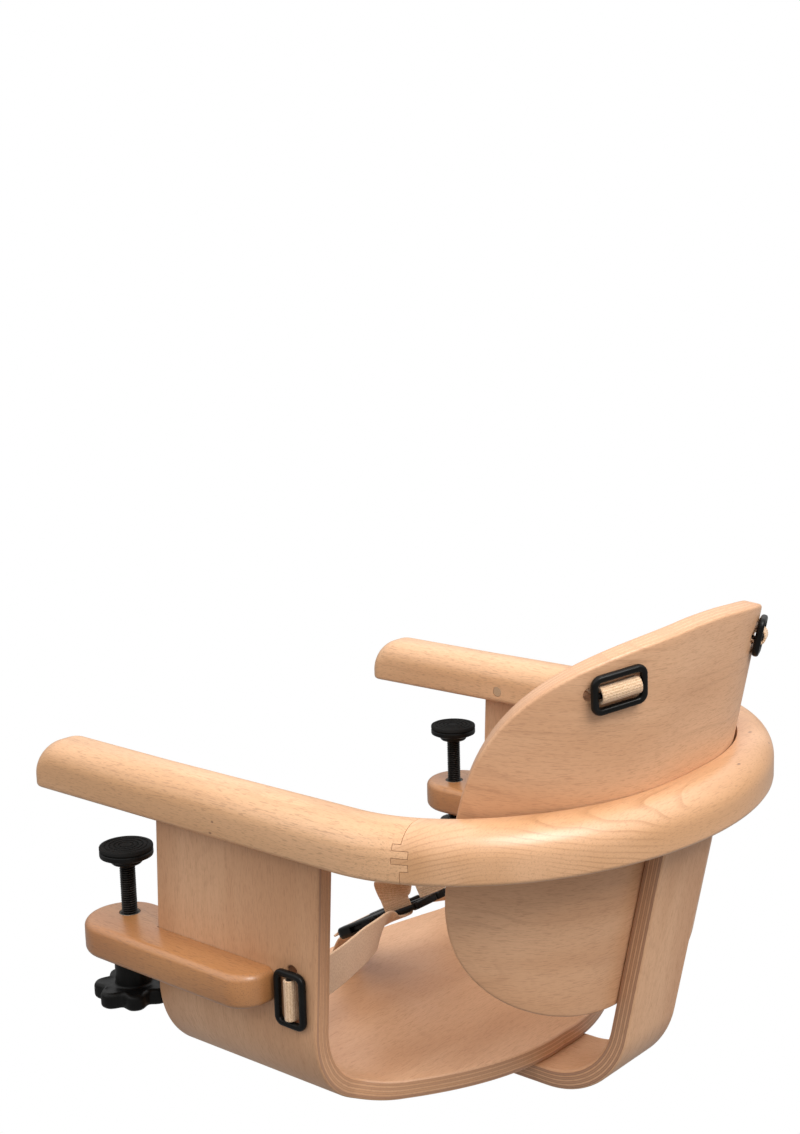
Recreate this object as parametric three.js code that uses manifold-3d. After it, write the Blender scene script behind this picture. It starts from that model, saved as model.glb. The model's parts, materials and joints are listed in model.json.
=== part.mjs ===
// Chair for a small child that hooks on a board edge: a bent plywood seat hung under a solid beech bow.
// X points to the child's left, Y to the back and Z up. The arms' undersides lie on the board at Z = 0,
// and the side panels' front edges meet the board's edge at Y = 0.

import * as THREE from 'three';
import { mergeVertices } from 'three/addons/utils/BufferGeometryUtils.js';
import Module from 'manifold-3d';

const wasm = await Module();
wasm.setup();

// Shared clearances, millimetres
const gap = 0.3;
const overrun = 60;
const weld = 0.0005;

// Bow: two arms and a rear arc, one section all round
const bowHalfSpan = 165;
const bowArcDepth = 120.6;
const armBackEnd = 156.4;
const armReach = 103.6;
const bowWidth = 36.7;
const bowHeight = 31;
const bowTopRadius = 17;
const bowArris = 3;
const armCornerRadius = 8;
const armNoseRadius = 20;

// Finger joints between the arms and the rear arc
const jointTurn = THREE.MathUtils.degToRad(19);
const jointSkew = THREE.MathUtils.degToRad(9.6);
const fingerLength = 9.2;
const fingerThickness = 3.65;
const fingerStart = 8.2;
const fingerCount = 4;

// Bent plywood seat shell
const boardThickness = 12;
const boardArris = 1.6;
const shellDrop = 164;
const shellBend = 54;
const shellRise = Math.tan(THREE.MathUtils.degToRad(0.6));
const tongueHeight = 15.7;
const panelFrontLean = 0.0455;
const panelRear = 136.5;
const panelRearLean = 0.068;
const seatRearSwell = 66.3;
const seatRearSwellHalf = 133;
const swellCorner = 4;
const seatFrontSwell = 16;
const seatFrontSwellHalf = 120;
const grooveShoulder = 4;

// Backrest: flat middle with curved wings, leaning back
const backLean = THREE.MathUtils.degToRad(12);
const backRearAtArm = 262.5;
const backFlatHalf = 24;
const backWingRadius = 130;
const backHalfLength = 155.8;
const backTop = 128;
const backBottom = 116;
const backRoundPower = 2.4;
const backTopPower = 0.383;
const backBottomPower = 0.302;
const backEndShare = 0.9997;
const seatCutRadius = 142;
const seatCutHalfLength = 160;

// Rear support strip
const supportWidth = 55;
const supportBend = 55;
const supportFront = 40;
const supportCornerRadius = 9;
const supportCornerShare = 0.999;

// Wood screws, plugs and dowels
const plugDiameter = 7.2;
const plugDepth = 5.5;
const sunkHeadDiameter = 6.6;
const sunkHeadHeight = 2.8;
const sunkShank = 3.5;
const sunkLength = 27;
const panelScrewFront = 21.1;
const panelScrewRear = 112;
const panelScrewHeight = 8.3;
const headDiameter = 9;
const headHeight = 3;
const shankDiameter = 4;
const bowScrewAlong = 62;
const bowScrewHeight = 15;
const stripScrewUpper = -28;
const stripScrewLower = -84;
const backScrewLength = 24;
const supportScrewFront = 70;
const supportScrewRear = 135;
const supportScrewLength = 24;
const dowelDiameter = 8;
const dowelDepth = 18;
const dowelOffset = 13;

// Clamp bars
const barTop = -75;
const barHeight = 21.5;
const barNoseWidth = 52;
const barTailWidth = 25;
const barCentreY = -34;
const barTail = 97.5;
const barTailRadius = 18;
const barArris = 5;
const barScrewFront = 18;
const barScrewRear = 78;
const barScrewLength = 29;

// Clamp screws
const clampInset = 5;
const clampForward = 2;
const rodDiameter = 10;
const rodChamfer = 1;
const insertDiameter = 13;
const insertLength = 20;
const padTop = -30.3;
const padDiameter = 34;
const padRubber = 3;
const padCupHeight = 8.4;
const padRim = 3.2;
const padHubDiameter = 20;
const padSocketDepth = 4.6;
const knobTop = -106;
const knobRimTop = -121.4;
const knobBottom = -132;
const knobDiameter = 51;
const knobHubDiameter = 23;
const knobLobes = 7;
const knobScallop = 5.2;
const knobScallopPower = 1.4;
const knobRound = 3;
const knobFloor = 3;

// Webbing and slide buckles
const webWidth = 25;
const webThickness = 1.6;
const slotLength = 40;
const slotWidth = 8;
const slideLength = 35;
const slideWidth = 24;
const slideWall = 4.2;
const slideCorner = 6;
const slideBar = 3.4;
const sideSlotY = 112;
const sideSlotZ = -90;
const backSlotAlong = 77.5;
const backSlotHeight = 98.8;
const backSlotTilt = THREE.MathUtils.degToRad(13);
const crotchSlotY = -8;
const crotchSlotLength = 36;
const waistNearShare = 0.35;
const waistNearSagShare = 0.06;
const waistFarShare = 0.7;
const waistFarSagShare = 0.04;
const shoulderDropShare = 0.32;
const shoulderForwardShare = 0.24;
const shoulderMiddleShare = 0.5;
const shoulderMiddleSagShare = 0.16;
const shoulderLowShare = 0.8;
const shoulderLowSagShare = 0.02;

// Harness buckle
const buckleFrontY = 8;
const buckleFrontZ = -129;
const buckleSlope = THREE.MathUtils.degToRad(28.4);
const housingLength = 40;
const housingWidth = 46;
const housingThickness = 8;
const housingCorner = 7;
const housingEdge = 1.2;
const housingWall = 2;
const housingBar = 4;
const housingEye = 5.4;
const mouthDepth = 26;
const windowLength = 13;
const tongueBlade = 3.6;
const tongueShoulder = 5.5;
const tongueEye = 33;
const tongueRail = 4.4;
const tongueBar = 4;
const tonguePlate = 5;
const webStub = 3;

// Finishes
const beech = { color: 0xdba873, roughness: 0.42, metalness: 0 };
const darkBeech = { color: 0xb97b4c, roughness: 0.42, metalness: 0 };
const plywood = { color: 0xd9a981, roughness: 0.45, metalness: 0 };
const blackPlastic = { color: 0x151515, roughness: 0.38, metalness: 0 };
const blackRubber = { color: 0x1c1c1c, roughness: 0.85, metalness: 0 };
const blackSteel = { color: 0x1e1d1c, roughness: 0.4, metalness: 0.9 };
const brightSteel = { color: 0xa9a9a4, roughness: 0.35, metalness: 1 };
const webbing = { color: 0xd9b48c, roughness: 0.9, metalness: 0 };

const xAxis = new THREE.Vector3(1, 0, 0);
const yAxis = new THREE.Vector3(0, 1, 0);
const zAxis = new THREE.Vector3(0, 0, 1);
const chair = new THREE.Group();

function toSolid(geometry) {
  const bare = geometry.clone();
  bare.deleteAttribute('normal');
  bare.deleteAttribute('uv');
  const merged = mergeVertices(bare, weld);
  return new wasm.Manifold(new wasm.Mesh({
    numProp: 3,
    vertProperties: Float32Array.from(merged.attributes.position.array),
    triVerts: Uint32Array.from(merged.index.array),
  }));
}

function toGeometry(solid) {
  const mesh = solid.getMesh();
  const geometry = new THREE.BufferGeometry();
  geometry.setAttribute('position', new THREE.BufferAttribute(Float32Array.from(mesh.vertProperties), 3));
  geometry.setIndex(Array.from(mesh.triVerts));
  geometry.computeVertexNormals();
  return geometry;
}

function mirrored(solid) {
  const geometry = toGeometry(solid);
  geometry.scale(-1, 1, 1);
  const corners = Array.from(geometry.index.array);
  for (let at = 0; at < corners.length; at += 3) {
    [corners[at], corners[at + 1]] = [corners[at + 1], corners[at]];
  }
  geometry.setIndex(corners);
  return toSolid(geometry);
}

function addPiece(name, solid, finish) {
  const piece = new THREE.Mesh(toGeometry(solid), new THREE.MeshStandardMaterial(finish));
  piece.name = name;
  chair.add(piece);
}

function addPair(name, solid, finish) {
  addPiece(`left_${name}`, solid, finish);
  addPiece(`right_${name}`, mirrored(solid), finish);
}

function arc(centreX, centreY, radius, from, to, steps) {
  const points = [];
  for (let step = 0; step <= steps; step += 1) {
    const angle = from + ((to - from) * step) / steps;
    points.push(new THREE.Vector2(centreX + radius * Math.cos(angle), centreY + radius * Math.sin(angle)));
  }
  return points;
}

// Rectangle with rounded corners; the two upper corners may have a larger radius.
function roundedRectangle(left, right, bottom, top, lowRadius, highRadius, lowSteps, highSteps) {
  return [
    ...arc(left + lowRadius, bottom + lowRadius, lowRadius, Math.PI, 1.5 * Math.PI, lowSteps),
    ...arc(right - lowRadius, bottom + lowRadius, lowRadius, 1.5 * Math.PI, 2 * Math.PI, lowSteps),
    ...arc(right - highRadius, top - highRadius, highRadius, 0, 0.5 * Math.PI, highSteps),
    ...arc(left + highRadius, top - highRadius, highRadius, 0.5 * Math.PI, Math.PI, highSteps),
  ];
}

function signedVolume(points, faces) {
  const cross = new THREE.Vector3();
  let volume = 0;
  for (const [a, b, c] of faces) {
    volume += points[a].dot(cross.crossVectors(points[b], points[c]));
  }
  return volume;
}

// Flat coordinates of a ring in its own plane, for closing the end of a loft
function flattened(ring) {
  const normal = new THREE.Vector3();
  ring.forEach((point, at) => {
    const next = ring[(at + 1) % ring.length];
    normal.x += (point.y - next.y) * (point.z + next.z);
    normal.y += (point.z - next.z) * (point.x + next.x);
    normal.z += (point.x - next.x) * (point.y + next.y);
  });
  normal.normalize();
  const across = new THREE.Vector3().subVectors(ring[1], ring[0]).normalize();
  const up = new THREE.Vector3().crossVectors(normal, across);
  return ring.map((point) => new THREE.Vector2(point.dot(across), point.dot(up)));
}

// Closed solid through a row of rings with equal numbers of points. An endless one joins its last ring
// to its first. A paired one is split along the same diagonals on the ring's first and second half, so
// that the two faces of a twisted strap keep their distance.
function loft(rings, endless = false, paired = false) {
  const points = rings.flat();
  const count = rings[0].length;
  const faces = [];
  const spans = endless ? rings.length : rings.length - 1;
  for (let span = 0; span < spans; span += 1) {
    const here = span * count;
    const there = ((span + 1) % rings.length) * count;
    for (let at = 0; at < count; at += 1) {
      const next = (at + 1) % count;
      if (paired && at >= count / 2) {
        faces.push([here + at, here + next, there + at]);
        faces.push([here + next, there + next, there + at]);
      } else {
        faces.push([here + at, here + next, there + next]);
        faces.push([here + at, there + next, there + at]);
      }
    }
  }
  if (!endless) {
    const last = (rings.length - 1) * count;
    for (const [a, b, c] of THREE.ShapeUtils.triangulateShape(flattened(rings[0]), [])) {
      faces.push([c, b, a]);
    }
    for (const [a, b, c] of THREE.ShapeUtils.triangulateShape(flattened(rings.at(-1)), [])) {
      faces.push([last + a, last + b, last + c]);
    }
  }
  const outward = signedVolume(points, faces) > 0;
  const geometry = new THREE.BufferGeometry();
  geometry.setAttribute('position', new THREE.Float32BufferAttribute(points.flatMap((p) => p.toArray()), 3));
  geometry.setIndex(faces.flatMap(([a, b, c]) => (outward ? [a, b, c] : [a, c, b])));
  return toSolid(geometry);
}

// Prism of a flat outline: the outline's own axes are given, and it is extruded from start to end
// along their cross product.
function prism(outline, across, up, start, end) {
  const along = new THREE.Vector3().crossVectors(across, up);
  const at = (distance) => outline.map((point) => new THREE.Vector3()
    .addScaledVector(across, point.x)
    .addScaledVector(up, point.y)
    .addScaledVector(along, distance));
  return loft([at(start), at(end)]);
}

function block(x0, x1, y0, y1, z0, z1) {
  const geometry = new THREE.BoxGeometry(x1 - x0, y1 - y0, z1 - z0);
  geometry.translate((x0 + x1) / 2, (y0 + y1) / 2, (z0 + z1) / 2);
  return toSolid(geometry);
}

// Turned piece: a profile of radius and height, stood on a foot along an axis
function turned(profile, foot, axis, sides) {
  const geometry = new THREE.LatheGeometry(profile.map(([r, h]) => new THREE.Vector2(r, h)), sides);
  geometry.applyQuaternion(new THREE.Quaternion().setFromUnitVectors(yAxis, axis));
  geometry.translate(foot.x, foot.y, foot.z);
  return toSolid(geometry);
}

function pin(diameter, foot, axis, length, sides = 12) {
  return turned([[0, 0], [diameter / 2, 0], [diameter / 2, length], [0, length]], foot, axis, sides);
}

function shifted(solid, matrix) {
  const geometry = toGeometry(solid);
  geometry.applyMatrix4(matrix);
  return toSolid(geometry);
}

// Row of stations along a flat line made of straight runs and bends. Each has its place, its normal to
// the left of travel and the distance covered.
function trace(start, heading, runs) {
  const stations = [];
  const place = start.clone();
  let angle = heading;
  let covered = 0;
  const mark = () => stations.push({
    place: place.clone(),
    normal: new THREE.Vector2(-Math.sin(angle), Math.cos(angle)),
    covered,
  });
  mark();
  for (const { length, radius = 0, turn = 0, steps } of runs) {
    for (let step = 0; step < steps; step += 1) {
      const part = (radius ? radius * Math.abs(turn) : length) / steps;
      const chord = radius ? 2 * radius * Math.sin(Math.abs(turn) / steps / 2) : part;
      angle += turn / steps / 2;
      place.x += chord * Math.cos(angle);
      place.y += chord * Math.sin(angle);
      angle += turn / steps / 2;
      covered += part;
      mark();
    }
  }
  return stations;
}

// Plywood board bent in one direction: each station gives its middle, its normal and its two edges
// measured along the straight rulings.
function bentBoard(stations, ruling, thickness, arris) {
  return loft(stations.map(({ middle, normal, low, high }) => {
    const half = thickness / 2;
    return roundedRectangle(low, high, -half, half, arris, arris, 1, 1).map((point) => middle.clone()
      .addScaledVector(ruling, point.x)
      .addScaledVector(normal, point.y));
  }));
}

// Webbing along a smooth line: each knot has a point and the direction of the webbing's width.
function webbingAlong(knots, stepsPerKnot = 2) {
  const steps = stepsPerKnot * (knots.length - 1);
  const line = new THREE.CatmullRomCurve3(knots.map((knot) => knot.at), false, 'centripetal');
  const rings = [];
  for (let step = 0; step <= steps; step += 1) {
    const share = step / steps;
    const centre = line.getPoint(share);
    const travel = line.getTangent(share);
    const place = share * (knots.length - 1);
    const before = Math.min(Math.floor(place), knots.length - 2);
    const wide = knots[before].wide.clone().lerp(knots[before + 1].wide, place - before);
    wide.addScaledVector(travel, -wide.dot(travel)).normalize();
    const through = new THREE.Vector3().crossVectors(travel, wide).normalize();
    rings.push([[-1, -1], [1, -1], [1, 1], [-1, 1]].map(([side, face]) => centre.clone()
      .addScaledVector(wide, (side * webWidth) / 2)
      .addScaledVector(through, (face * webThickness) / 2)));
  }
  return loft(rings, false, true);
}

// Bow
function bowSection() {
  const half = bowWidth / 2;
  return roundedRectangle(-half, half, 0, bowHeight, bowArris, bowTopRadius, 1, 5);
}

function arcPoint(turn) {
  return new THREE.Vector3(bowHalfSpan * Math.cos(turn), armBackEnd + bowArcDepth * Math.sin(turn), 0);
}

function arcOutward(turn) {
  return new THREE.Vector3(Math.cos(turn) / bowHalfSpan, Math.sin(turn) / bowArcDepth, 0).normalize();
}

function wholeBow() {
  const section = bowSection();
  const steps = 30;
  const ringAt = (place, outward) => section.map((point) => place.clone()
    .addScaledVector(outward, point.x)
    .setZ(point.y));
  const rings = [ringAt(new THREE.Vector3(bowHalfSpan, -armReach, 0), xAxis)];
  for (let step = 0; step <= steps; step += 1) {
    const turn = (Math.PI * step) / steps;
    rings.push(ringAt(arcPoint(turn), arcOutward(turn)));
  }
  rings.push(ringAt(new THREE.Vector3(-bowHalfSpan, -armReach, 0), xAxis.clone().negate()));
  return loft(rings);
}

// The arm's side of the finger joint, as an outline of distance along the bow and height
function fingerOutline(grown) {
  const reach = armReach + armBackEnd + bowArcDepth;
  const points = [new THREE.Vector2(-reach, -overrun), new THREE.Vector2(grown, -overrun)];
  for (let finger = 0; finger <= fingerCount; finger += 1) {
    const onArm = finger % 2 === 0;
    const height = fingerStart + finger * fingerThickness + (onArm ? -grown : grown);
    const before = finger === 0 ? 0 : (onArm ? -1 : 1) * (fingerLength / 2);
    const after = finger === fingerCount ? 0 : (onArm ? 1 : -1) * (fingerLength / 2);
    points.push(new THREE.Vector2(before + grown, height));
    points.push(new THREE.Vector2(after + grown, height));
  }
  points.push(new THREE.Vector2(grown, bowHeight + overrun), new THREE.Vector2(-reach, bowHeight + overrun));
  return points;
}

function armRegion(grown) {
  const along = new THREE.Vector3(-Math.sin(jointSkew), Math.cos(jointSkew), 0);
  const region = prism(fingerOutline(grown), along, zAxis, -bowHalfSpan / 2, bowHalfSpan / 2);
  const joint = arcPoint(jointTurn);
  return shifted(region, new THREE.Matrix4().makeTranslation(joint.x, joint.y, 0));
}

// Rounded front end of an arm: rounded corners from above and a rounded top edge from the side
function armNose() {
  const half = bowWidth / 2;
  const back = armBackEnd + bowArcDepth;
  const plan = [
    new THREE.Vector2(bowHalfSpan - half - overrun, back),
    new THREE.Vector2(bowHalfSpan - half - overrun, armBackEnd),
    new THREE.Vector2(bowHalfSpan - half, armBackEnd),
    ...arc(bowHalfSpan - half + armCornerRadius, armCornerRadius - armReach, armCornerRadius,
      Math.PI, 1.5 * Math.PI, 3),
    ...arc(bowHalfSpan + half - armCornerRadius, armCornerRadius - armReach, armCornerRadius,
      1.5 * Math.PI, 2 * Math.PI, 3),
    new THREE.Vector2(bowHalfSpan + half, back),
  ];
  const side = [
    new THREE.Vector2(back, -overrun),
    new THREE.Vector2(back, bowHeight),
    ...arc(armNoseRadius - armReach, bowHeight - armNoseRadius, armNoseRadius, 0.5 * Math.PI, Math.PI, 5),
    new THREE.Vector2(-armReach, -overrun),
  ];
  const fromAbove = prism(plan, xAxis, yAxis, -overrun, bowHeight + overrun);
  const fromSide = prism(side, yAxis, zAxis, -overrun, bowHalfSpan + overrun);
  return fromAbove.intersect(fromSide);
}

function panelFrontAt(height) {
  return panelFrontLean * height;
}

function panelRearAt(height) {
  return panelRear + panelRearLean * height;
}

// Ends of the panels' tongues, set back from both edges so that the arms hide their grooves
const tongueFront = panelFrontAt(0) + grooveShoulder;
const tongueRear = panelRearAt(0) - grooveShoulder;

// Places of the hidden screws through each arm's groove
const panelScrewPlaces = [panelScrewFront, panelScrewRear];
const armInner = bowHalfSpan - bowWidth / 2;
const sunkHeadFoot = armInner + plugDepth + gap;

function screwSolid(head, headLength, shank, length, foot, axis) {
  const profile = [
    [0, 0],
    [head / 2 - headLength / 3, 0],
    [head / 2, headLength],
    [shank / 2, headLength],
    [shank / 2, length - shank],
    [0, length],
  ];
  return turned(profile, foot, axis, 10);
}

function armCuts() {
  const half = boardThickness / 2 + gap;
  const cuts = [block(bowHalfSpan - half, bowHalfSpan + half, tongueFront - gap, tongueRear + gap,
    -overrun, tongueHeight + gap)];
  for (const y of panelScrewPlaces) {
    const foot = new THREE.Vector3(sunkHeadFoot, y, panelScrewHeight);
    cuts.push(pin(plugDiameter + 2 * gap, foot.clone().setX(armInner - overrun), xAxis,
      overrun + plugDepth + gap, 20));
    cuts.push(pin(sunkHeadDiameter + 2 * gap, foot, xAxis, sunkHeadHeight + gap, 20));
    cuts.push(pin(sunkShank + 2 * gap, foot, xAxis, sunkLength + gap, 16));
  }
  return cuts;
}

// Frame of the leaning backrest: along its face upwards, and square to its face towards the back
const leanUp = new THREE.Vector3(0, Math.sin(backLean), Math.cos(backLean));
const leanBack = new THREE.Vector3(0, Math.cos(backLean), -Math.sin(backLean));
const backOrigin = new THREE.Vector3(0, backRearAtArm, 0);

// Place and outward normal on a face of the backrest at a distance round it from its middle
function wingPoint(along, radius = backWingRadius) {
  const side = Math.sign(along);
  const turn = Math.max(0, Math.abs(along) - backFlatHalf) / radius;
  const flat = Math.min(Math.abs(along), backFlatHalf);
  return {
    x: side * (flat + radius * Math.sin(turn)),
    back: -radius * (1 - Math.cos(turn)),
    normal: new THREE.Vector3(side * Math.sin(turn), 0, 0).addScaledVector(leanBack, Math.cos(turn)),
    tangent: new THREE.Vector3(Math.cos(turn), 0, 0).addScaledVector(leanBack, -side * Math.sin(turn)),
  };
}

function onBackrest(along, height, depth) {
  const wing = wingPoint(along);
  return backOrigin.clone()
    .add(new THREE.Vector3(wing.x, 0, 0))
    .addScaledVector(leanBack, wing.back)
    .addScaledVector(leanUp, height)
    .addScaledVector(wing.normal, -depth);
}

function backrestBoard() {
  const steps = 32;
  const stations = [];
  for (let step = 0; step <= steps; step += 1) {
    const share = backEndShare * Math.sin((Math.PI / 2) * ((2 * step) / steps - 1));
    const round = 1 - Math.abs(share) ** backRoundPower;
    const along = share * backHalfLength;
    stations.push({
      middle: onBackrest(along, 0, boardThickness / 2),
      normal: wingPoint(along).normal,
      low: -backBottom * round ** backBottomPower,
      high: backTop * round ** backTopPower,
    });
  }
  return bentBoard(stations, leanUp, boardThickness, boardArris);
}

// Seat milled into the bow for the backrest; a little wider than the board towards its ends
function backrestSeatCut() {
  const steps = 26;
  const depth = backWingRadius / 3;
  const stations = [];
  for (let step = 0; step <= steps; step += 1) {
    const along = seatCutHalfLength * ((2 * step) / steps - 1);
    const wing = wingPoint(along, seatCutRadius);
    stations.push({
      middle: backOrigin.clone()
        .add(new THREE.Vector3(wing.x, 0, 0))
        .addScaledVector(leanBack, wing.back)
        .addScaledVector(wing.normal, gap - depth / 2),
      normal: wing.normal,
      low: -bowHeight,
      high: 2 * bowHeight,
    });
  }
  return bentBoard(stations, leanUp, depth, gap);
}

// Backrest fixings: two screws into the bow and two into the support strip
const backScrews = [
  { name: 'backrest_screw_left', along: bowScrewAlong, height: bowScrewHeight },
  { name: 'backrest_screw_right', along: -bowScrewAlong, height: bowScrewHeight },
  { name: 'backrest_screw_upper', along: 0, height: stripScrewUpper },
  { name: 'backrest_screw_lower', along: 0, height: stripScrewLower },
];

function backScrewAxis(screw) {
  return wingPoint(screw.along).normal;
}

function backScrewFoot(screw) {
  return onBackrest(screw.along, screw.height, boardThickness + gap + headHeight);
}

function backScrewBore(screw) {
  return pin(shankDiameter + 2 * gap, backScrewFoot(screw), backScrewAxis(screw), backScrewLength + gap, 12);
}

// Support strip: along the seat's underside, round a bend and up behind the backrest
const shellRiseAngle = Math.atan(shellRise);
const supportTurn = Math.PI / 2 - backLean - shellRiseAngle;
const shellUnderside = -shellDrop - boardThickness / 2;

function supportMidlineZ(y) {
  return shellUnderside + shellRise * y - gap - boardThickness / 2;
}

// Where the strip's two middle lines would cross, if its bend were a sharp corner
function supportCorner() {
  const offset = gap + boardThickness / 2;
  const uprightStart = backRearAtArm + offset / Math.cos(backLean);
  const lean = Math.tan(backLean);
  const y = (uprightStart + lean * supportMidlineZ(0)) / (1 - lean * shellRise);
  return new THREE.Vector2(y, supportMidlineZ(y));
}

function supportStrip() {
  const corner = supportCorner();
  const bendRun = supportBend * Math.tan(supportTurn / 2);
  const legRun = (corner.x - supportFront) / Math.cos(shellRiseAngle) - bendRun;
  const uprightRun = -corner.y / Math.cos(backLean) - bendRun + overrun / 4;
  const start = new THREE.Vector2(supportFront, supportMidlineZ(supportFront));
  const line = trace(start, shellRiseAngle, [
    { length: supportCornerRadius, steps: 3 },
    { length: legRun - supportCornerRadius, steps: 1 },
    { radius: supportBend, turn: supportTurn, steps: 9 },
    { length: uprightRun, steps: 1 },
  ]);
  const stations = line.map(({ place, normal, covered }) => {
    const left = Math.max(0, supportCornerRadius - covered);
    const inset = supportCornerRadius - Math.sqrt(supportCornerRadius ** 2 - left ** 2) * supportCornerShare;
    const half = supportWidth / 2 - (left > 0 ? inset : 0);
    return {
      middle: new THREE.Vector3(0, place.x, place.y),
      normal: new THREE.Vector3(0, normal.x, normal.y),
      low: -half,
      high: half,
    };
  });
  return bentBoard(stations, xAxis, boardThickness, boardArris);
}

// Dowels from the strip's upper end into the bow
const stripMidAtArm = backOrigin.clone().addScaledVector(leanBack, gap + boardThickness / 2);

function dowelFoot(side) {
  return stripMidAtArm.clone().setX(side * dowelOffset).addScaledVector(leanUp, -dowelDepth);
}

// Screws that hold the strip's lower leg under the seat
const supportScrewPlaces = [supportScrewFront, supportScrewRear];

function supportScrewFoot(y) {
  return new THREE.Vector3(0, y, supportMidlineZ(y) - boardThickness / 2 - gap - headHeight);
}

// Seat shell
const bendStart = shellBend - shellDrop;
const seatFlatHalf = bowHalfSpan - shellBend;
const panelFoot = seatFlatHalf + (shellBend * Math.PI) / 2;

function softSwell(height, share, corner) {
  const swell = height * (1 - share ** 2);
  return (swell + Math.hypot(swell, corner)) / 2;
}

// Front and rear edges of the shell's blank, by the distance from the seat's middle
function shellEdges(distance) {
  const height = bendStart - (panelFoot - distance);
  return {
    low: panelFrontAt(height)
      - softSwell(seatFrontSwell, distance / seatFrontSwellHalf, swellCorner),
    high: panelRearAt(height)
      + softSwell(seatRearSwell, distance / seatRearSwellHalf, swellCorner),
  };
}

function seatShell() {
  const above = tongueHeight + boardThickness;
  const line = trace(new THREE.Vector2(bowHalfSpan, above), -Math.PI / 2, [
    { length: above - bendStart, steps: 3 },
    { radius: shellBend, turn: -Math.PI / 2, steps: 9 },
    { length: 2 * seatFlatHalf, steps: 18 },
    { radius: shellBend, turn: -Math.PI / 2, steps: 9 },
    { length: above - bendStart, steps: 3 },
  ]);
  const middle = line.at(-1).covered / 2;
  const rising = new THREE.Vector3(0, 1, shellRise);
  const stations = line.map(({ place, normal, covered }) => ({
    middle: new THREE.Vector3(place.x, 0, place.y),
    normal: new THREE.Vector3(normal.x, 0, normal.y),
    ...shellEdges(Math.abs(covered - middle)),
  }));
  const reach = bowHalfSpan + overrun;
  const trim = block(-reach, reach, -overrun, panelRear + overrun, tongueHeight, tongueHeight + 2 * overrun);
  const frontShoulder = block(-reach, reach, -overrun, tongueFront, -gap, tongueHeight + overrun);
  const rearShoulder = block(-reach, reach, tongueRear, panelRear + overrun, -gap, tongueHeight + overrun);
  return bentBoard(stations, rising, boardThickness, boardArris)
    .subtract(trim)
    .subtract(frontShoulder)
    .subtract(rearShoulder);
}

// Through slot with round ends, centred on a place: long and wide directions are given.
function slotCutter(centre, long, wide, length, width) {
  const radius = width / 2;
  const outline = [
    ...arc(length / 2 - radius, 0, radius, -Math.PI / 2, Math.PI / 2, 6),
    ...arc(radius - length / 2, 0, radius, Math.PI / 2, 1.5 * Math.PI, 5),
  ];
  const cutter = prism(outline, long, wide, -boardThickness, boardThickness);
  return shifted(cutter, new THREE.Matrix4().makeTranslation(centre.x, centre.y, centre.z));
}

const panelOuter = bowHalfSpan + boardThickness / 2;
const panelInner = bowHalfSpan - boardThickness / 2;
const sideSlot = new THREE.Vector3(bowHalfSpan, sideSlotY, sideSlotZ);
const crotchSlot = new THREE.Vector3(0, crotchSlotY, -shellDrop + shellRise * crotchSlotY);

function backSlotFrame(side) {
  const wing = wingPoint(side * backSlotAlong);
  const long = wing.tangent.clone().multiplyScalar(Math.cos(backSlotTilt))
    .addScaledVector(leanUp, -side * Math.sin(backSlotTilt));
  const wide = new THREE.Vector3().crossVectors(wing.normal, long);
  return { long, wide, out: wing.normal };
}

// Slide buckle: a ring of round bar with a thin bar across its middle, lying on a face
function slideBuckle(centre, long, wide) {
  const wall = slideWall / 2;
  const out = new THREE.Vector3().crossVectors(long, wide);
  const path = roundedRectangle(wall - slideLength / 2, slideLength / 2 - wall, wall - slideWidth / 2,
    slideWidth / 2 - wall, slideCorner - wall, slideCorner - wall, 3, 3);
  const rings = path.map((point, at) => {
    const before = path[(at + path.length - 1) % path.length];
    const after = path[(at + 1) % path.length];
    const outward = new THREE.Vector2(after.y - before.y, before.x - after.x).normalize();
    return arc(0, 0, wall, 0, 2 * Math.PI, 6).slice(1).map((round) => new THREE.Vector3()
      .addScaledVector(long, point.x + outward.x * round.x)
      .addScaledVector(wide, point.y + outward.y * round.x)
      .addScaledVector(out, round.y));
  });
  const run = slideLength - 2 * wall;
  const foot = long.clone().multiplyScalar(-run / 2);
  const buckle = loft(rings, true).add(pin(slideBar, foot, long, run, 8));
  return shifted(buckle, new THREE.Matrix4().makeTranslation(centre.x, centre.y, centre.z));
}

const slideRise = gap + slideWall / 2;
const webTurn = slideBar / 2 + gap + webThickness / 2;

// Knots of webbing that comes out of a slot, rounds a slide buckle's bar and goes back in. The first
// leg lies on the side that is given, and legs are as deep as the board plus a tail.
function bucklePass(barCentre, out, side, wide, firstTail, lastTail) {
  const depth = slideRise + boardThickness;
  const knot = (forward, sideways) => ({
    at: barCentre.clone().addScaledVector(out, forward).addScaledVector(side, sideways),
    wide,
  });
  const rounds = arc(0, 0, webTurn, Math.PI / 2, -Math.PI / 2, 6).map((point) => knot(point.x, point.y));
  return [
    knot(-depth - firstTail, webTurn),
    knot(-depth, webTurn),
    ...rounds,
    knot(-depth, -webTurn),
    knot(-depth - lastTail, -webTurn),
  ];
}

// Clamp bars: the tail lies against the panel's outer face, and the nose is wider and passes in front of it
const barOuter = panelOuter + barTailWidth;
const barInner = barOuter - barNoseWidth;
const barCentreX = (barInner + barOuter) / 2;
const barNoseRadius = barNoseWidth / 2;
const barBottom = barTop - barHeight;
const clampX = barCentreX - clampInset;
const clampY = barCentreY - clampForward;

// Place on the clamp screw's axis at a height
function clampFoot(z) {
  return new THREE.Vector3(clampX, clampY, z);
}

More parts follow.
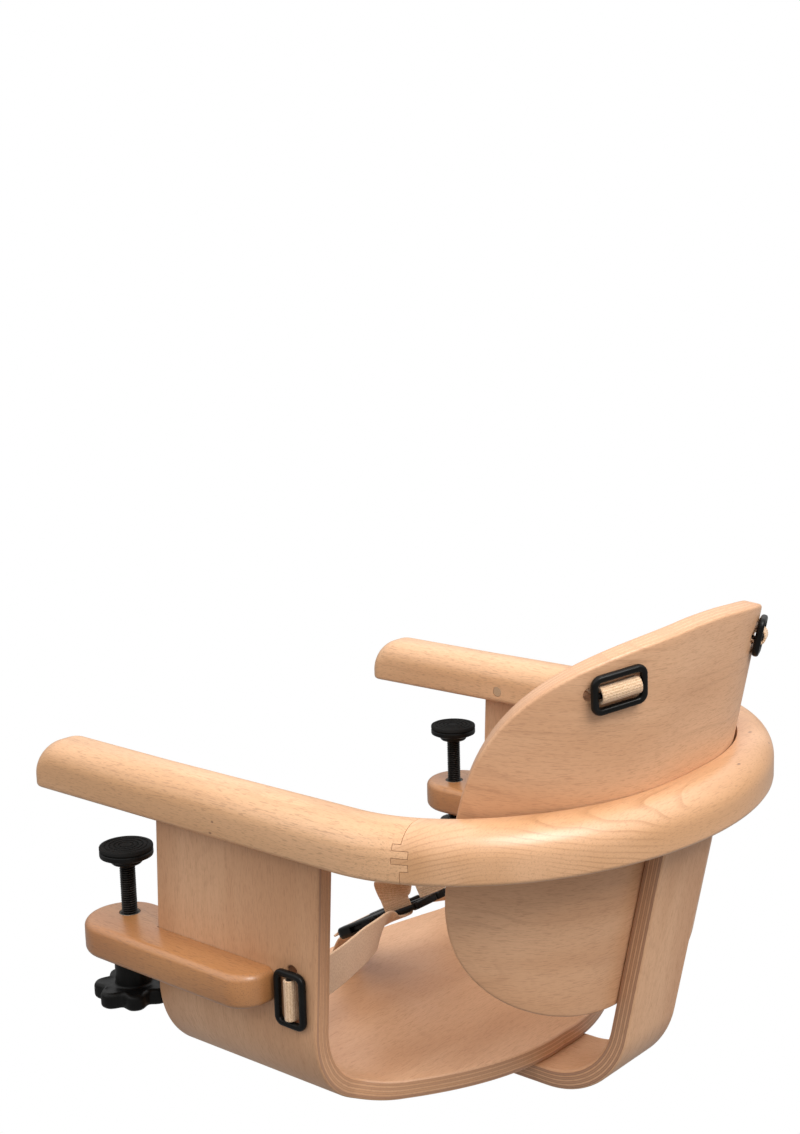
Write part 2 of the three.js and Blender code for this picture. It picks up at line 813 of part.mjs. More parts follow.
function clampBar() {
  const tailRound = Math.min(barTailRadius, barTailWidth - barArris);
  const plan = new THREE.Shape();
  plan.moveTo(barInner, barTail);
  plan.lineTo(barInner, barCentreY);
  plan.absarc(barCentreX, barCentreY, barNoseRadius, Math.PI, 2 * Math.PI, false);
  plan.lineTo(barOuter, barTail - tailRound);
  plan.absarc(barOuter - tailRound, barTail - tailRound, tailRound, 0, Math.PI / 2, false);
  plan.lineTo(barInner, barTail);
  const geometry = new THREE.ExtrudeGeometry(plan, {
    depth: barHeight - 2 * barArris,
    bevelSize: barArris,
    bevelThickness: barArris,
    bevelOffset: -barArris,
    bevelSegments: 2,
    curveSegments: 6,
  });
  geometry.translate(0, 0, barBottom + barArris);
  const notch = prism([
    new THREE.Vector2(panelFrontAt(barTop + overrun) - gap, barTop + overrun),
    new THREE.Vector2(panelFrontAt(barBottom - overrun) - gap, barBottom - overrun),
    new THREE.Vector2(barTail + overrun, barBottom - overrun),
    new THREE.Vector2(barTail + overrun, barTop + overrun),
  ], yAxis, zAxis, barInner - overrun, panelOuter + gap);
  const insertBore = pin(insertDiameter + 2 * gap, clampFoot(barBottom - overrun), zAxis,
    barHeight + 2 * overrun, 16);
  return toSolid(geometry).subtract(notch).subtract(insertBore);
}

const barScrewPlaces = [barScrewFront, barScrewRear];
const barMiddle = barTop - barHeight / 2;

function barScrewFoot(y) {
  return new THREE.Vector3(panelInner - gap - headHeight, y, barMiddle);
}

function barScrewBore(y) {
  return pin(shankDiameter + 2 * gap, barScrewFoot(y), xAxis, barScrewLength + gap, 12);
}

// Clamp screw: pad, rod and star knob on one axis
const padRubberBottom = padTop - padRubber;
const padCupTop = padRubberBottom - gap;
const padCupBottom = padCupTop - padCupHeight;

function padFace() {
  const radius = padDiameter / 2;
  const round = padRubber / 4;
  return turned([
    [0, 0],
    [radius - round, 0],
    [radius, round],
    [radius, padRubber - round],
    [radius - round, padRubber],
    [0, padRubber],
  ], clampFoot(padRubberBottom), zAxis, 24);
}

function padCup() {
  const radius = padDiameter / 2;
  const cup = turned([
    [0, 0],
    [padHubDiameter / 2, 0],
    [padHubDiameter / 2, padCupHeight / 3],
    [radius, padCupHeight - padRim],
    [radius, padCupHeight],
    [0, padCupHeight],
  ], clampFoot(padCupBottom), zAxis, 24);
  return cup.subtract(pin(rodDiameter + 2 * gap, clampFoot(padCupBottom - overrun), zAxis,
    overrun + padSocketDepth, 20));
}

const rodTop = padCupBottom + padSocketDepth - gap;
const rodBottom = knobBottom + knobFloor + gap;

function clampRod() {
  const radius = rodDiameter / 2;
  const length = rodTop - rodBottom;
  return turned([
    [0, 0],
    [radius - rodChamfer, 0],
    [radius, rodChamfer],
    [radius, length - rodChamfer],
    [radius - rodChamfer, length],
    [0, length],
  ], clampFoot(rodBottom), zAxis, 12);
}

function threadedInsert() {
  const outer = insertDiameter / 2;
  const inner = rodDiameter / 2 + gap;
  return turned([
    [inner, 0],
    [outer, 0],
    [outer, insertLength],
    [inner, insertLength],
    [inner, 0],
  ], clampFoot(barTop - insertLength), zAxis, 16);
}

function starRing(inset, height) {
  const points = [];
  const sides = knobLobes * 5;
  for (let side = 0; side < sides; side += 1) {
    const turn = (2 * Math.PI * side) / sides;
    const wave = (0.5 - 0.5 * Math.cos(knobLobes * turn)) ** knobScallopPower;
    const radius = knobDiameter / 2 - inset - knobScallop * wave;
    points.push(new THREE.Vector3(radius * Math.cos(turn), radius * Math.sin(turn), height));
  }
  return points;
}

function starKnob() {
  const rise = knobRimTop - knobBottom;
  const star = loft([
    starRing(knobRound, 0),
    starRing(0, knobRound),
    starRing(0, rise - knobRound),
    starRing(knobRound, rise),
  ]);
  const hub = turned([
    [0, 0],
    [knobHubDiameter / 2 + knobRound, 0],
    [knobHubDiameter / 2 + knobRound / 3, knobRound / 3],
    [knobHubDiameter / 2, knobRound],
    [knobHubDiameter / 2, knobTop - knobRimTop - rodChamfer],
    [knobHubDiameter / 2 - rodChamfer, knobTop - knobRimTop],
    [0, knobTop - knobRimTop],
  ], new THREE.Vector3(0, 0, rise - gap), zAxis, 20);
  const bore = pin(rodDiameter + 2 * gap, new THREE.Vector3(0, 0, knobFloor), zAxis, overrun, 16);
  return shifted(star.add(hub).subtract(bore),
    new THREE.Matrix4().makeTranslation(clampX, clampY, knobBottom));
}

// Harness buckle frame: across, along towards the straps, and square to both
const buckleAlong = new THREE.Vector3(0, Math.cos(buckleSlope), Math.sin(buckleSlope));
const buckleUp = new THREE.Vector3(0, -Math.sin(buckleSlope), Math.cos(buckleSlope));
const buckleFrame = new THREE.Matrix4()
  .makeBasis(xAxis, buckleAlong, buckleUp)
  .setPosition(0, buckleFrontY, buckleFrontZ);

function inBuckle(x, along, up) {
  return new THREE.Vector3(x, along, up).applyMatrix4(buckleFrame);
}

function buckleHousing() {
  const half = housingWidth / 2;
  const thick = housingThickness / 2;
  const ring = (inset, up) => roundedRectangle(inset - half, half - inset, inset, housingLength - inset,
    housingCorner - inset, housingCorner / 2 - inset, 5, 3).map((p) => new THREE.Vector3(p.x, p.y, up));
  const body = loft([
    ring(housingEdge, -thick),
    ring(0, housingEdge - thick),
    ring(0, thick - housingEdge),
    ring(housingEdge, thick),
  ]);
  const mouthHalf = thick - housingWall;
  const mouthSide = half - housingWall;
  const mouth = block(-mouthSide, mouthSide, housingLength - mouthDepth, housingLength + overrun,
    -mouthHalf, mouthHalf);
  const windowStart = housingLength - mouthDepth + housingWall;
  const windows = block(-half - overrun, half + overrun, windowStart, windowStart + windowLength,
    -mouthHalf, mouthHalf);
  const eyeHalf = (webWidth + housingWall) / 2;
  const eye = block(-eyeHalf, eyeHalf, -overrun, housingBar + housingEye, -overrun, overrun);
  const webBar = pin(housingBar, new THREE.Vector3(-eyeHalf - gap, housingBar / 2, 0), xAxis,
    2 * (eyeHalf + gap));
  return shifted(body.subtract(mouth).subtract(windows).subtract(eye).add(webBar), buckleFrame);
}

const tongueOuter = housingWidth / 2;
const barCentre = tongueOuter - tongueBar / 2;
const frameStart = housingLength + gap;
const eyeStart = frameStart + tongueShoulder;
const eyeEnd = eyeStart + tongueEye;

function tongue() {
  const bladeHalf = tongueBlade / 2;
  const bladeOuter = housingWidth / 2 - housingWall - gap;
  const blade = block(gap, bladeOuter, housingLength - mouthDepth + gap, eyeStart, -bladeHalf, bladeHalf);
  const shoulder = block(gap, tongueOuter, frameStart, eyeStart,
    -housingThickness / 2, housingThickness / 2);
  const plate = block(gap, barCentre, eyeStart - gap, eyeEnd + tongueRail, -tonguePlate / 2, tonguePlate / 2);
  const eye = block(gap + tongueRail, barCentre + overrun, eyeStart, eyeEnd, -overrun, overrun);
  const bar = pin(tongueBar, new THREE.Vector3(barCentre, eyeStart - tongueRail / 2, 0), yAxis,
    tongueEye + tongueRail, 12);
  const notch = block(bladeOuter / 2 - tongueRail / 2, bladeOuter / 2 + tongueRail / 2, 0,
    housingLength - tongueRail, -overrun, overrun);
  return shifted(blade.subtract(notch).add(shoulder).add(plate.subtract(eye)).add(bar), buckleFrame);
}

// Webbing on the tongue's bar: down from the shoulder, under the bar and out to the waist
const barTurn = tongueBar / 2 + gap + webThickness / 2;
const strapTop = barTurn + webStub;
const strapSide = barCentre + barTurn + webStub / 2;
const webMiddle = (eyeStart + eyeEnd) / 2;

function strapBend() {
  const knots = [
    new THREE.Vector2(barCentre - barTurn, strapTop),
    new THREE.Vector2(barCentre - barTurn, strapTop / 2),
    ...arc(barCentre, 0, barTurn, Math.PI, 1.5 * Math.PI, 4),
    new THREE.Vector2((barCentre + strapSide) / 2, -barTurn),
    new THREE.Vector2(strapSide, -barTurn),
  ].map((point) => ({ at: inBuckle(point.x, webMiddle, point.y), wide: buckleAlong }));
  return webbingAlong(knots);
}

// Waist strap: round the side slide buckle's bar, through the slot and across to the tongue
const sideBarCentre = new THREE.Vector3(panelOuter + slideRise, sideSlotY, sideSlotZ);

function waistStrap() {
  const end = inBuckle(strapSide + gap, webMiddle, -barTurn);
  const inner = new THREE.Vector3(panelInner, sideSlotY, sideSlotZ);
  const between = (share, sag) => inner.clone().lerp(end, share).addScaledVector(zAxis, -sag * webWidth);
  const knots = [
    ...bucklePass(sideBarCentre, xAxis, yAxis, zAxis, webWidth / 3, webWidth / 4),
    { at: between(waistNearShare, waistNearSagShare), wide: zAxis.clone().lerp(buckleAlong, waistNearShare) },
    { at: between(waistFarShare, waistFarSagShare), wide: zAxis.clone().lerp(buckleAlong, waistFarShare) },
    { at: end.clone().addScaledVector(xAxis, webStub), wide: buckleAlong },
    { at: end, wide: buckleAlong },
  ];
  return webbingAlong(knots);
}

// Shoulder strap: round the back slide buckle's bar, through the slot and down to the tongue
function shoulderStrap() {
  const { long, wide, out } = backSlotFrame(1);
  const barAt = onBackrest(backSlotAlong, backSlotHeight, -slideRise);
  const slotFront = onBackrest(backSlotAlong, backSlotHeight, boardThickness);
  const end = inBuckle(barCentre - barTurn, webMiddle, strapTop + gap);
  const width = long.clone().negate();
  const between = (share, sag) => slotFront.clone().lerp(end, share)
    .addScaledVector(zAxis, -sag * backSlotHeight);
  const folded = between(0, shoulderDropShare).addScaledVector(yAxis, -shoulderForwardShare * backSlotHeight);
  const knots = [
    ...bucklePass(barAt, out, wide, width, webWidth / 3, webWidth / 4),
    { at: folded, wide: width },
    { at: between(shoulderMiddleShare, shoulderMiddleSagShare), wide: width },
    { at: between(shoulderLowShare, shoulderLowSagShare), wide: width.clone().lerp(buckleAlong, 1 / 2) },
    { at: end.clone().addScaledVector(buckleUp, 3 * webStub), wide: buckleAlong },
    { at: end, wide: buckleAlong },
  ];
  return webbingAlong(knots);
}

// Crotch strap: round the slide buckle under the seat, up through its slot and round the housing's bar
const crotchBar = new THREE.Vector3(0, crotchSlotY, shellUnderside + shellRise * crotchSlotY - slideRise);

function crotchStrap() {
  const turn = housingBar / 2 + gap + webThickness / 2;
  const down = zAxis.clone().negate();
  const knot = (along, up) => ({ at: inBuckle(0, along, up), wide: xAxis });
  const rounds = arc(housingBar / 2, 0, turn, -Math.PI / 2, Math.PI / 2, 6).map((p) => knot(p.x, p.y));
  const knots = [
    ...bucklePass(crotchBar, down, yAxis.clone().negate(), xAxis, webWidth / 4, webWidth / 3),
    knot(-webWidth / 3, -turn),
    ...rounds,
    knot(-webWidth / 3, turn / 5),
    knot(-webWidth / 2, -turn / 10),
  ];
  return webbingAlong(knots);
}

// Assembly: bow with its grooves, milled seat and dowel holes
const bow = wholeBow();
const arm = armCuts().reduce((solid, cut) => solid.subtract(cut), bow.intersect(armRegion(0))
  .intersect(armNose()));
addPair('arm', arm, beech);

const armSide = armRegion(gap);
let rearBow = bow.subtract(armSide).subtract(mirrored(armSide)).subtract(backrestSeatCut());
let backrest = backrestBoard();
let support = supportStrip();
support = support.subtract(block(-overrun, overrun, 0, bowArcDepth * 3, -gap, overrun));
for (const side of [1, -1]) {
  const bore = pin(dowelDiameter + 2 * gap, dowelFoot(side).addScaledVector(leanUp, -gap), leanUp,
    2 * (dowelDepth + gap), 12);
  rearBow = rearBow.subtract(bore);
  support = support.subtract(bore);
}
for (const screw of backScrews) {
  const bore = backScrewBore(screw);
  backrest = backrest.subtract(bore);
  rearBow = rearBow.subtract(bore);
  support = support.subtract(bore);
}
for (const side of [1, -1]) {
  const { long, wide } = backSlotFrame(side);
  const centre = onBackrest(side * backSlotAlong, backSlotHeight, boardThickness / 2);
  backrest = backrest.subtract(slotCutter(centre, long, wide, slotLength, slotWidth));
}
let shell = seatShell();
for (const y of panelScrewPlaces) {
  const bore = pin(sunkShank + 2 * gap, new THREE.Vector3(-bowHalfSpan - overrun, y, panelScrewHeight), xAxis,
    2 * (bowHalfSpan + overrun), 12);
  shell = shell.subtract(bore);
}
for (const y of supportScrewPlaces) {
  const bore = pin(shankDiameter + 2 * gap, supportScrewFoot(y), zAxis, supportScrewLength + gap, 12);
  support = support.subtract(bore);
  shell = shell.subtract(bore);
}
let bar = clampBar();
for (const y of barScrewPlaces) {
  const bore = barScrewBore(y);
  bar = bar.subtract(bore);
  shell = shell.subtract(bore).subtract(mirrored(bore));
}
const sideCut = slotCutter(sideSlot, zAxis, yAxis, slotLength, slotWidth);
shell = shell.subtract(sideCut).subtract(mirrored(sideCut));
shell = shell.subtract(slotCutter(crotchSlot, xAxis, yAxis, crotchSlotLength, slotWidth));

addPiece('rear_bow', rearBow, beech);
addPiece('seat_shell', shell, plywood);
addPiece('rear_support', support, plywood);
addPiece('backrest', backrest, plywood);

panelScrewPlaces.forEach((y, at) => {
  const place = at ? 'rear' : 'front';
  const foot = new THREE.Vector3(sunkHeadFoot, y, panelScrewHeight);
  addPair(`panel_screw_${place}`, screwSolid(sunkHeadDiameter, sunkHeadHeight, sunkShank, sunkLength, foot,
    xAxis), brightSteel);
  addPair(`screw_plug_${place}`, pin(plugDiameter, foot.clone().setX(armInner), xAxis, plugDepth), beech);
});
for (const side of [1, -1]) {
  addPiece(`support_dowel_${side > 0 ? 'left' : 'right'}`,
    pin(dowelDiameter, dowelFoot(side), leanUp, 2 * dowelDepth, 20), beech);
}
for (const screw of backScrews) {
  addPiece(screw.name, screwSolid(headDiameter, headHeight, shankDiameter, backScrewLength,
    backScrewFoot(screw), backScrewAxis(screw)), blackSteel);
}
supportScrewPlaces.forEach((y, at) => {
  addPiece(`support_screw_${at ? 'rear' : 'front'}`, screwSolid(headDiameter, headHeight, shankDiameter,
    supportScrewLength, supportScrewFoot(y), zAxis), blackSteel);
});

addPair('clamp_bar', bar, darkBeech);
barScrewPlaces.forEach((y, at) => {
  addPair(`bar_screw_${at ? 'rear' : 'front'}`, screwSolid(headDiameter, headHeight, shankDiameter,
    barScrewLength, barScrewFoot(y), xAxis), blackSteel);
});
addPair('threaded_insert', threadedInsert(), brightSteel);
addPair('clamp_rod', clampRod(), blackSteel);
addPair('clamp_knob', starKnob(), blackPlastic);
addPair('pad_cup', padCup(), blackPlastic);
addPair('pad_face', padFace(), blackRubber);

addPair('side_buckle', slideBuckle(sideBarCentre, zAxis.clone().negate(), yAxis), blackPlastic);
for (const side of [1, -1]) {
  const { long, wide } = backSlotFrame(side);
  const centre = onBackrest(side * backSlotAlong, backSlotHeight, -slideRise);
  addPiece(`back_buckle_${side > 0 ? 'left' : 'right'}`, slideBuckle(centre, long, wide), blackPlastic);
}
addPiece('crotch_buckle', slideBuckle(crotchBar, xAxis, yAxis), blackPlastic);
addPiece('buckle_housing', buckleHousing(), blackPlastic);
addPair('tongue', tongue(), blackPlastic);
addPair('strap_bend', strapBend(), webbing);
addPair('waist_strap', waistStrap(), webbing);
addPair('shoulder_strap', shoulderStrap(), webbing);
addPiece('crotch_strap', crotchStrap(), webbing);

export default chair;
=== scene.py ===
import json
import math

import bpy
import numpy as np
from mathutils import Matrix, Vector


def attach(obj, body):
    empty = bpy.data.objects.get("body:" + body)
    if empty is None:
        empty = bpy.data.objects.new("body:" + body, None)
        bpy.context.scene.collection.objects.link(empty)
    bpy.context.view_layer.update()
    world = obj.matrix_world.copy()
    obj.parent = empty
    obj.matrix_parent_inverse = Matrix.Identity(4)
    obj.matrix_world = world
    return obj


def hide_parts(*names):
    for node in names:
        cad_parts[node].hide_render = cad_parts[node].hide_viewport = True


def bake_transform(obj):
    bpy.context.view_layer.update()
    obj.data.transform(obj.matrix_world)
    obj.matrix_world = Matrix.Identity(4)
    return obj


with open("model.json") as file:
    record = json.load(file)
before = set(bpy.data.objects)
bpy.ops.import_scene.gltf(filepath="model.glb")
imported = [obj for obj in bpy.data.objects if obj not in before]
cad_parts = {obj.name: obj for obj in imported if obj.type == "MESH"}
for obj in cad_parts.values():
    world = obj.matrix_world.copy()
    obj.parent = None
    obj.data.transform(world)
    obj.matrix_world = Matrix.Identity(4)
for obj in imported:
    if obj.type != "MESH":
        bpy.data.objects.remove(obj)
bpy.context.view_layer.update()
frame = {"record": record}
bodies = frame["record"]["behaviour"]["bodies"]
body_of_node = {node: body for body, nodes in bodies.items() for node in nodes}

# The photograph's view: from behind the chair and above the left arm, a little above the bow.
# The picture is 1134 pixels high, and its longer side is the one that the lens is given for.
eye = Vector((0.8331, 0.7692, 0.3421))
view_turn = math.radians(130.58)
view_rise = math.radians(10.94)
view_roll = math.radians(-1.51)
focal_pixels = 1721.9
photo_height = 1134
film_side = 36

backward = Vector((
    math.sin(view_turn) * math.cos(view_rise),
    -math.cos(view_turn) * math.cos(view_rise),
    math.sin(view_rise),
))
level_right = (-backward).cross(Vector((0, 0, 1))).normalized()
level_up = level_right.cross(-backward)
picture_right = math.cos(view_roll) * level_right + math.sin(view_roll) * level_up
picture_up = math.cos(view_roll) * level_up - math.sin(view_roll) * level_right
lens = bpy.data.cameras.new("photo_lens")
lens.sensor_width = film_side
lens.lens = focal_pixels * film_side / photo_height
camera = bpy.data.objects.new("photo_camera", lens)
camera.matrix_world = Matrix((picture_right, picture_up, backward)).transposed().to_4x4()
camera.location = eye
bpy.context.scene.collection.objects.link(camera)
bpy.context.scene.camera = camera

# Studio: a pale floor well below the chair, a bright sheet of sky that is strongest overhead, and two
# broad soft boxes, one high up behind the chair and one outside its left arm, towards the front.
floor_height = -0.75
floor_radius = 40
floor_sides = 64
floor_paint = (0.22, 0.22, 0.219, 1)
floor_roughness = 0.9
overhead_light = 2.2
level_light = 0.32
under_light = 0.3
lit_place = Vector((0, 0.1, -0.05))
soft_boxes = [
    ("key_box", (0.35, 1.7, 1.9), 1.3, 49, (1, 0.985, 0.96)),
    ("side_box", (1.9, -0.9, 1.2), 1.2, 5, (1, 0.99, 0.98)),
]


def feed(tree, sockets, values):
    """Links what comes from another node, and sets plain numbers and colours."""
    for socket, value in values.items():
        if isinstance(value, bpy.types.NodeSocket):
            tree.links.new(value, sockets[socket])
        else:
            sockets[socket].default_value = value


def shader(tree, kind, values=(), **settings):
    made = tree.nodes.new("ShaderNode" + kind)
    for setting, value in settings.items():
        setattr(made, setting, value)
    feed(tree, made.inputs, dict(values))
    return made


def seen_white(tree, surface, white_kind):
    """Shows plain white to the camera, while the surface still lights the chair."""
    seen = shader(tree, "LightPath").outputs["Is Camera Ray"]
    white = shader(tree, white_kind, {"Color": (1, 1, 1, 1), "Strength": 1}).outputs[0]
    return shader(tree, "MixShader", {0: seen, 1: surface, 2: white}).outputs[0]


bpy.context.scene.view_settings.view_transform = "Standard"
sky = bpy.data.worlds.new("studio_sky")
sky.use_nodes = True
sky_tree = sky.node_tree
sky_tree.nodes.clear()
sky_way = shader(sky_tree, "TexCoord").outputs["Generated"]
sky_rise = shader(sky_tree, "SeparateXYZ", {0: sky_way}).outputs["Z"]
below = shader(sky_tree, "MapRange", {
    "Value": sky_rise, "From Min": -1, "From Max": 0, "To Min": under_light, "To Max": level_light,
}).outputs["Result"]
sky_strength = shader(sky_tree, "MapRange", {
    "Value": sky_rise, "To Min": below, "To Max": overhead_light,
}).outputs["Result"]
sky_light = shader(sky_tree, "Background", {"Strength": sky_strength}).outputs[0]
shader(sky_tree, "OutputWorld", {"Surface": seen_white(sky_tree, sky_light, "Background")})
bpy.context.scene.world = sky

for box_name, box_place, box_size, box_power, box_colour in soft_boxes:
    box_light = bpy.data.lights.new(box_name, "AREA")
    box_light.size = box_size
    box_light.energy = box_power
    box_light.color = box_colour
    box_object = bpy.data.objects.new(box_name, box_light)
    box_object.location = box_place
    box_object.rotation_euler = (Vector(box_place) - lit_place).to_track_quat("Z", "Y").to_euler()
    bpy.context.scene.collection.objects.link(box_object)

floor_finish = bpy.data.materials.new("studio_floor")
floor_finish.use_nodes = True
floor_tree = floor_finish.node_tree
floor_surface = floor_tree.nodes["Principled BSDF"]
floor_surface.inputs["Base Color"].default_value = floor_paint
floor_surface.inputs["Roughness"].default_value = floor_roughness
floor_tree.links.new(seen_white(floor_tree, floor_surface.outputs[0], "Emission"),
                     floor_tree.nodes["Material Output"].inputs[0])
floor_mesh = bpy.data.meshes.new("studio_floor")
floor_rim = [(floor_radius * math.cos(turn), floor_radius * math.sin(turn), floor_height)
             for turn in np.linspace(0, 2 * math.pi, floor_sides, endpoint=False)]
floor_mesh.from_pydata(floor_rim, [], [list(range(floor_sides))])
floor_mesh.materials.append(floor_finish)
floor = bpy.data.objects.new("studio_floor", floor_mesh)
bpy.context.scene.collection.objects.link(floor)

# Bow: two straight arms and a rear arc of solid beech, shaped to one section with a full round top,
# finger jointed on both sides behind the panels, sanded and lacquered.
sides = ((1, "left"), (-1, "right"))
half_span = 0.165
arc_depth = 0.1206
arm_back_end = 0.1564
arm_reach = 0.1036
arm_end_turn = math.radians(40)
arc_turns = (math.radians(8), math.radians(172))
arm_bend_steps = 40
arc_steps = 150
bow_width = 0.0367
bow_height = 0.031
bow_top_radius = 0.017
bow_arris = 0.003
bow_arris_steps = 4
bow_top_steps = 16
nose_corner = 0.008
nose_round = 0.02
nose_top_share = 0.8
nose_steps = 18
joint_turn = math.radians(19)
joint_skew = math.radians(9.6)
finger_length = 0.0092
finger_thickness = 0.00365
finger_start = 0.0082
finger_count = 4
glue_line = 0.00032
beyond = 0.06
running_gap = 0.0003
panel_half = 0.006
panel_rear = 0.1365
tongue_height = 0.0157
groove_shoulder = 0.004
plug_radius = 0.0036
plug_depth = 0.0055
plug_places = (0.0211, 0.112)
plug_height = 0.0083
beech_pale = (0.73, 0.43, 0.235, 1)
beech_warm = (0.62, 0.34, 0.165, 1)
# The arc's tones are the arms' beech painted about five per cent darker: painted shade for the arc's outer
# side, which gets less light.
arc_shaded_pale = (0.69, 0.40, 0.222, 1)
arc_shaded_warm = (0.585, 0.315, 0.152, 1)
beech_ring = (0.40, 0.19, 0.08, 1)
beech_fleck = (0.24, 0.105, 0.048, 1)
beech_knot = (0.15, 0.055, 0.022, 1)
arm_knots = [
    ((0.1834, 0.0642, 0.0106), (0.0012, 0.0014, 0.0009)),
    ((0.1834, 0.062, 0.0034), (0.0012, 0.0018, 0.001)),
]
arc_knots = [
    ((-0.0379, 0.2832, 0.029), (0.003, 0.001, 0.001)),
    ((-0.0946, 0.2591, 0.0309), (0.0032, 0.0012, 0.0012)),
    ((-0.1009, 0.269, 0.0239), (0.0036, 0.001, 0.001)),
]
knot_rim = 0.2
knot_depth = 0.85

# Each pattern of the beech has its cells per millimetre along, across and up, its detail, and the two
# levels of the noise between which it sets in. A wander has its reach in millimetres in their place, and
# late wood has the parts of a year in which its line sets in and stops.
beech_broad = ((0.006, 0.035, 0.035), 1, 0.3, 0.7)
beech_fibre = ((0.03, 1.1, 1.1), 3, 0.38, 0.7)
beech_flecks = ((0.15, 1.5, 1.5), 1, 0.57, 0.66)
beech_pores = ((0.32, 3.2, 3.2), 0, 0.60, 0.72)
ring_patches = ((0.008, 0.05, 0.05), 1, 0.38, 0.66)
ring_wander = ((0.006, 0.02, 0.022), 2, 13)
late_wood = (0.58, 0.94, 1, 0.95)
fibre_share = 0.22
pore_share = 0.6
beech_gloss = 0.36
mark_gloss = 0.35
pore_relief = (0.25, 0.0001)
beech_coat = {"Coat Weight": 0.5, "Coat Roughness": 0.28}


def tree_of(*terms):
    return next(term.id_data for term in terms if isinstance(term, bpy.types.NodeSocket))


def reckon(operation, *terms):
    return shader(tree_of(*terms), "Math", enumerate(terms), operation=operation).outputs[0]


def plus(first, second):
    return reckon("ADD", first, second)


def minus(first, second):
    return reckon("SUBTRACT", first, second)


def times(first, second):
    return reckon("MULTIPLY", first, second)


def spread_of(first, second):
    return reckon("SQRT", plus(times(first, first), times(second, second)))


def vector_reckon(operation, place, other):
    return shader(place.id_data, "VectorMath", {0: place, 1: other}, operation=operation).outputs[0]


def in_millimetres(place):
    return shader(place.id_data, "VectorMath", {0: place, "Scale": 1000}, operation="SCALE").outputs[0]


def split(place):
    return shader(place.id_data, "SeparateXYZ", {0: place}).outputs


def joined(x, y, z):
    return shader(x.id_data, "CombineXYZ", {"X": x, "Y": y, "Z": z}).outputs[0]


def clouds(place, cells, detail):
    noise = {"Vector": vector_reckon("MULTIPLY", place, cells), "Scale": 1, "Detail": detail}
    return shader(place.id_data, "TexNoise", noise).outputs["Fac"]


def step_up(value, low, high, to_low=0, to_high=1):
    return shader(value.id_data, "MapRange", {
        "Value": value, "From Min": low, "From Max": high, "To Min": to_low, "To Max": to_high,
    }, interpolation_type="SMOOTHSTEP").outputs["Result"]


def pattern(place, look, to_low=0, to_high=1):
    cells, detail, low, high = look
    return step_up(clouds(place, cells, detail), low, high, to_low, to_high)


def blended(share, first, second):
    return shader(tree_of(share, first, second), "Mix", {0: share, 6: first, 7: second},
                  data_type="RGBA").outputs[2]


def new_finish(name, attribute=None):
    """A new material, and the place on the piece that its patterns are drawn by."""
    finish = bpy.data.materials.new(name)
    finish.use_nodes = True
    if attribute:
        return finish, shader(finish.node_tree, "Attribute", attribute_name=attribute).outputs["Vector"]
    return finish, shader(finish.node_tree, "TexCoord").outputs["Object"]


def surfaced(finish, tint, roughness, height, relief, constants):
    """Gives a material its colour, its roughness, the relief of its grain and its fixed values."""
    tree = finish.node_tree
    strength, depth = relief
    bump = shader(tree, "Bump", {"Strength": strength, "Distance": depth, "Height": height}).outputs[0]
    feed(tree, tree.nodes["Principled BSDF"].inputs,
         {"Base Color": tint, "Roughness": roughness, "Normal": bump, **constants})
    return finish


def grain_marks(place, flecks, fleck_depth, pores, pore_depth):
    shown_flecks = times(pattern(place, flecks), fleck_depth)
    return reckon("MAXIMUM", shown_flecks, times(pattern(place, pores), pore_depth))


def year_lines(place, distance, space, wander, late):
    """Late wood: a line that sets in slowly and stops at once, again and again by the distance."""
    cells, detail, reach = wander
    drifted = plus(distance, times(clouds(place, cells, detail), reach))
    year = reckon("FRACT", reckon("DIVIDE", drifted, space))
    return times(step_up(year, *late[:2]), step_up(year, *late[2:]))


def solid_beech(name, grain, pale, warm, ring_space, pith, ring_depth=0.24, fleck_depth=0.36, knots=()):
    """Sawn beech with its grain along one axis, and year rings round a pith beside the piece."""
    finish, place = new_finish(name)
    apart = split(in_millimetres(place))
    across = apart["X" if grain == "Y" else "Y"]
    height = apart["Z"]
    log = joined(apart[grain], across, height)
    spread = spread_of(minus(across, pith[0]), minus(height, pith[1]))
    late = year_lines(log, spread, ring_space, ring_wander, late_wood)
    strength = pattern(log, ring_patches, ring_depth / 6, ring_depth)
    tint = blended(pattern(log, beech_broad), pale, warm)
    tint = blended(times(pattern(log, beech_fibre), fibre_share), tint, warm)
    tint = blended(times(late, strength), tint, beech_ring)
    marks = grain_marks(log, beech_flecks, fleck_depth, beech_pores, pore_share * fleck_depth)
    tint = blended(marks, tint, beech_fleck)
    for centre, size in knots:
        offset = vector_reckon("DIVIDE", vector_reckon("SUBTRACT", place, centre), size)
        near = shader(finish.node_tree, "VectorMath", {0: offset}, operation="LENGTH").outputs["Value"]
        tint = blended(step_up(near, 1, knot_rim, 0, knot_depth), tint, beech_knot)
    return surfaced(finish, tint, plus(beech_gloss, times(marks, mark_gloss)), minus(1, marks), pore_relief,
                    beech_coat)


def lofted(rings, endless=False):
    rings = np.asarray(rings, float)
    spans, count = rings.shape[:2]
    at = np.arange(count)
    after = (at + 1) % count
    here = np.arange(spans if endless else spans - 1)[:, None] * count
    there = (here + count) % (spans * count)
    faces = np.stack([here + at, here + after, there + after, there + at], -1).reshape(-1, 4).tolist()
    if not endless:
        faces += [at[::-1].tolist(), (at + (spans - 1) * count).tolist()]
    return rings.reshape(-1, 3), faces


def quarter(centre, radius, start, steps, sweep=math.pi / 2):
    turns = np.linspace(start, start + sweep, steps + 1)
    return np.stack([centre[0] + radius * np.cos(turns), centre[1] + radius * np.sin(turns)], 1)


def full_turn(steps):
    return np.linspace(0, 2 * math.pi, steps, endpoint=False)


